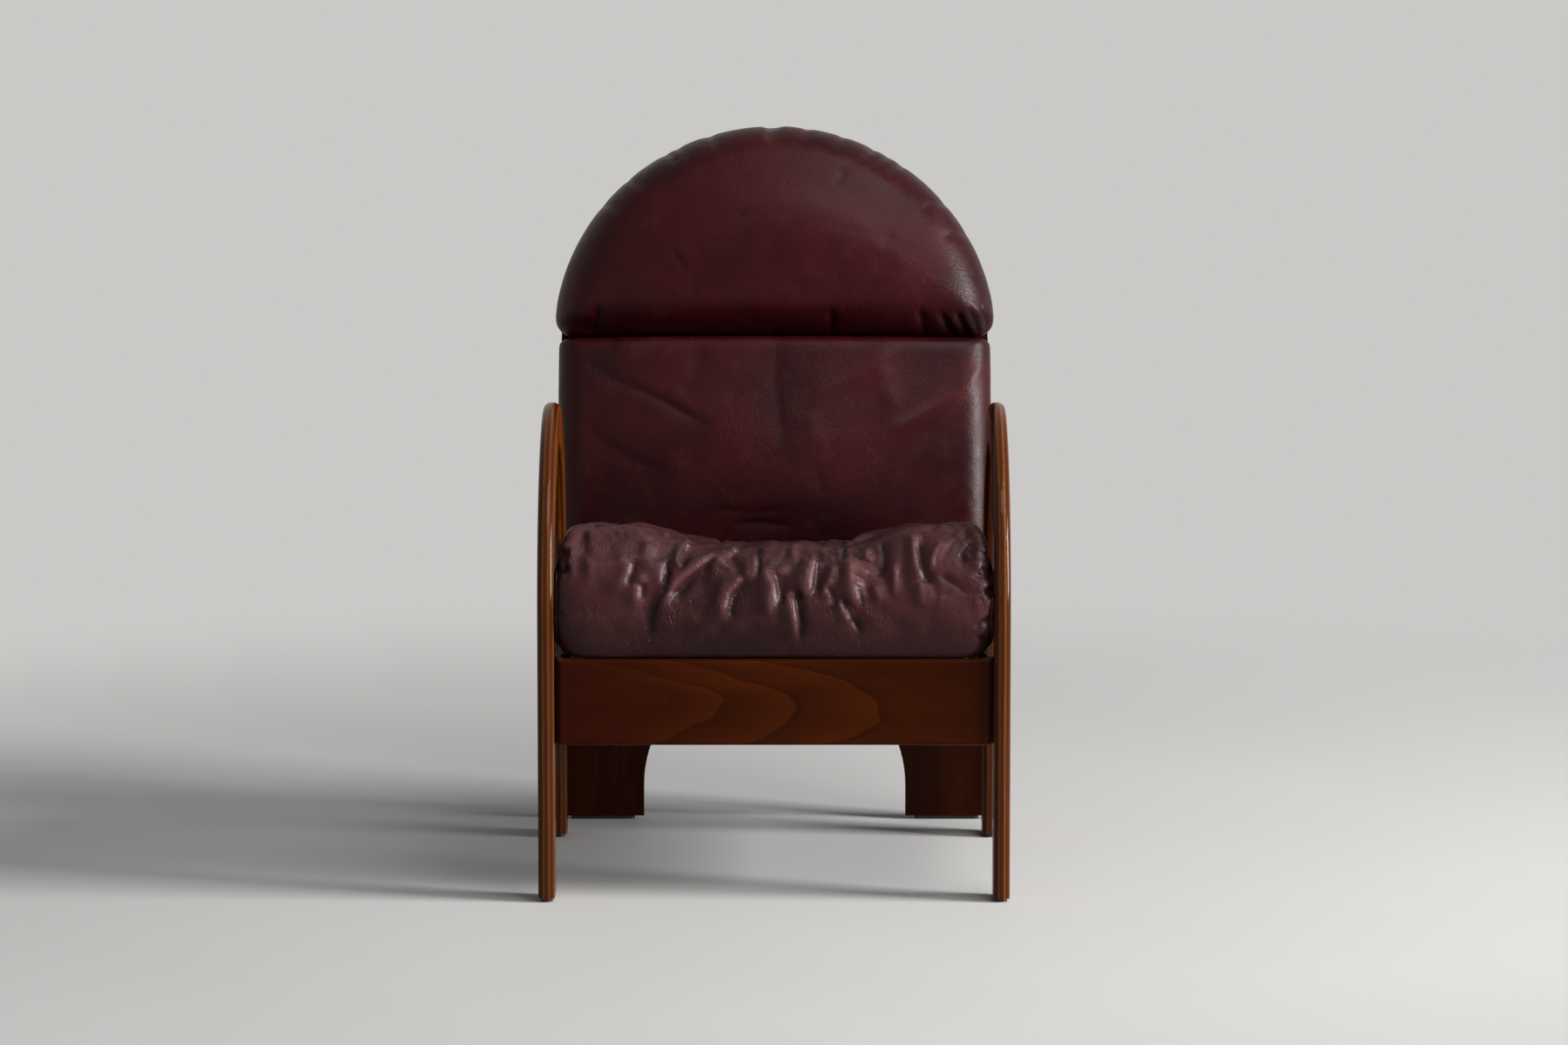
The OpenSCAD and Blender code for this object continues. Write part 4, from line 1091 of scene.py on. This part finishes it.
floor_mesh = bpy.data.meshes.new("floor")
turns = [2 * math.pi * k / RIM_POINTS for k in range(RIM_POINTS)]
floor_mesh.from_pydata([(FLOOR_R * math.cos(a), FLOOR_R * math.sin(a), 0) for a in turns],
                       [], [tuple(range(RIM_POINTS))])
floor = add_object("floor", floor_mesh)
look = Look("floor", Roughness=0.7, Specular_IOR_Level=0.2)
place = look.place()
soft = look.noise(place, 1.5, 3)
look.set(look.shader, {"Base Color": look.mix(soft, srgb(194, 193, 191), BACKDROP)})
far = look.node("VectorMath", {0: place}, operation="LENGTH").outputs["Value"]
ray = look.node("LightPath").outputs
shown = look.math("MAXIMUM", look.math("MAXIMUM", ray["Is Camera Ray"], ray["Is Glossy Ray"]),
                  ray["Is Transmission Ray"])
seen = look.mul(look.ramp(far, *FADE), shown)
glow = look.node("Emission", {"Color": BACKDROP})
blend = look.node("MixShader", {0: seen, 1: look.shader.outputs[0], 2: glow.outputs[0]})
look.tree.links.new(blend.outputs[0], look.tree.nodes["Material Output"].inputs["Surface"])
floor_mesh.materials.append(look.material)

world = bpy.data.worlds.new("studio")
scene.world = world
world.use_nodes = True
nodes, links = world.node_tree.nodes, world.node_tree.links
nodes.clear()
paths = nodes.new("ShaderNodeLightPath")
backdrop, ambient = nodes.new("ShaderNodeBackground"), nodes.new("ShaderNodeBackground")
backdrop.inputs[0].default_value = BACKDROP
ambient.inputs[0].default_value = (1, 1, 1, 1)
ambient.inputs[1].default_value = AMBIENT
shown = paths.outputs["Is Camera Ray"]
for other in ("Is Glossy Ray", "Is Transmission Ray"):
    either = nodes.new("ShaderNodeMath")
    either.operation = "MAXIMUM"
    links.new(shown, either.inputs[0])
    links.new(paths.outputs[other], either.inputs[1])
    shown = either.outputs[0]
mixer, out = nodes.new("ShaderNodeMixShader"), nodes.new("ShaderNodeOutputWorld")
links.new(shown, mixer.inputs[0])
links.new(ambient.outputs[0], mixer.inputs[1])
links.new(backdrop.outputs[0], mixer.inputs[2])
links.new(mixer.outputs[0], out.inputs[0])


def area(name, place, target, size, power):
    """A soft lamp at a place, turned to its target."""
    lamp = bpy.data.lights.new(name, "AREA")
    lamp.shape = "RECTANGLE"
    lamp.size, lamp.size_y = size
    lamp.energy = power
    obj = bpy.data.objects.new(name, lamp)
    obj.location = place
    obj.rotation_euler = (Vector(target) - Vector(place)).to_track_quat("-Z", "Y").to_euler()
    scene.collection.objects.link(obj)


LAMPS = [("key", (8.4, -2.2, 3.1), (0, 0, 0.6), (3.0, 4.4), 1750),
         ("overhead", (1.3, -1.7, 3.7), (0, 0, 0.2), (2.0, 2.0), 60),
         ("fill", (-2.8, -3.6, 1.8), (0, 0, 0.5), (1.6, 2.0), 4)]
for lamp in LAMPS:
    area(*lamp)
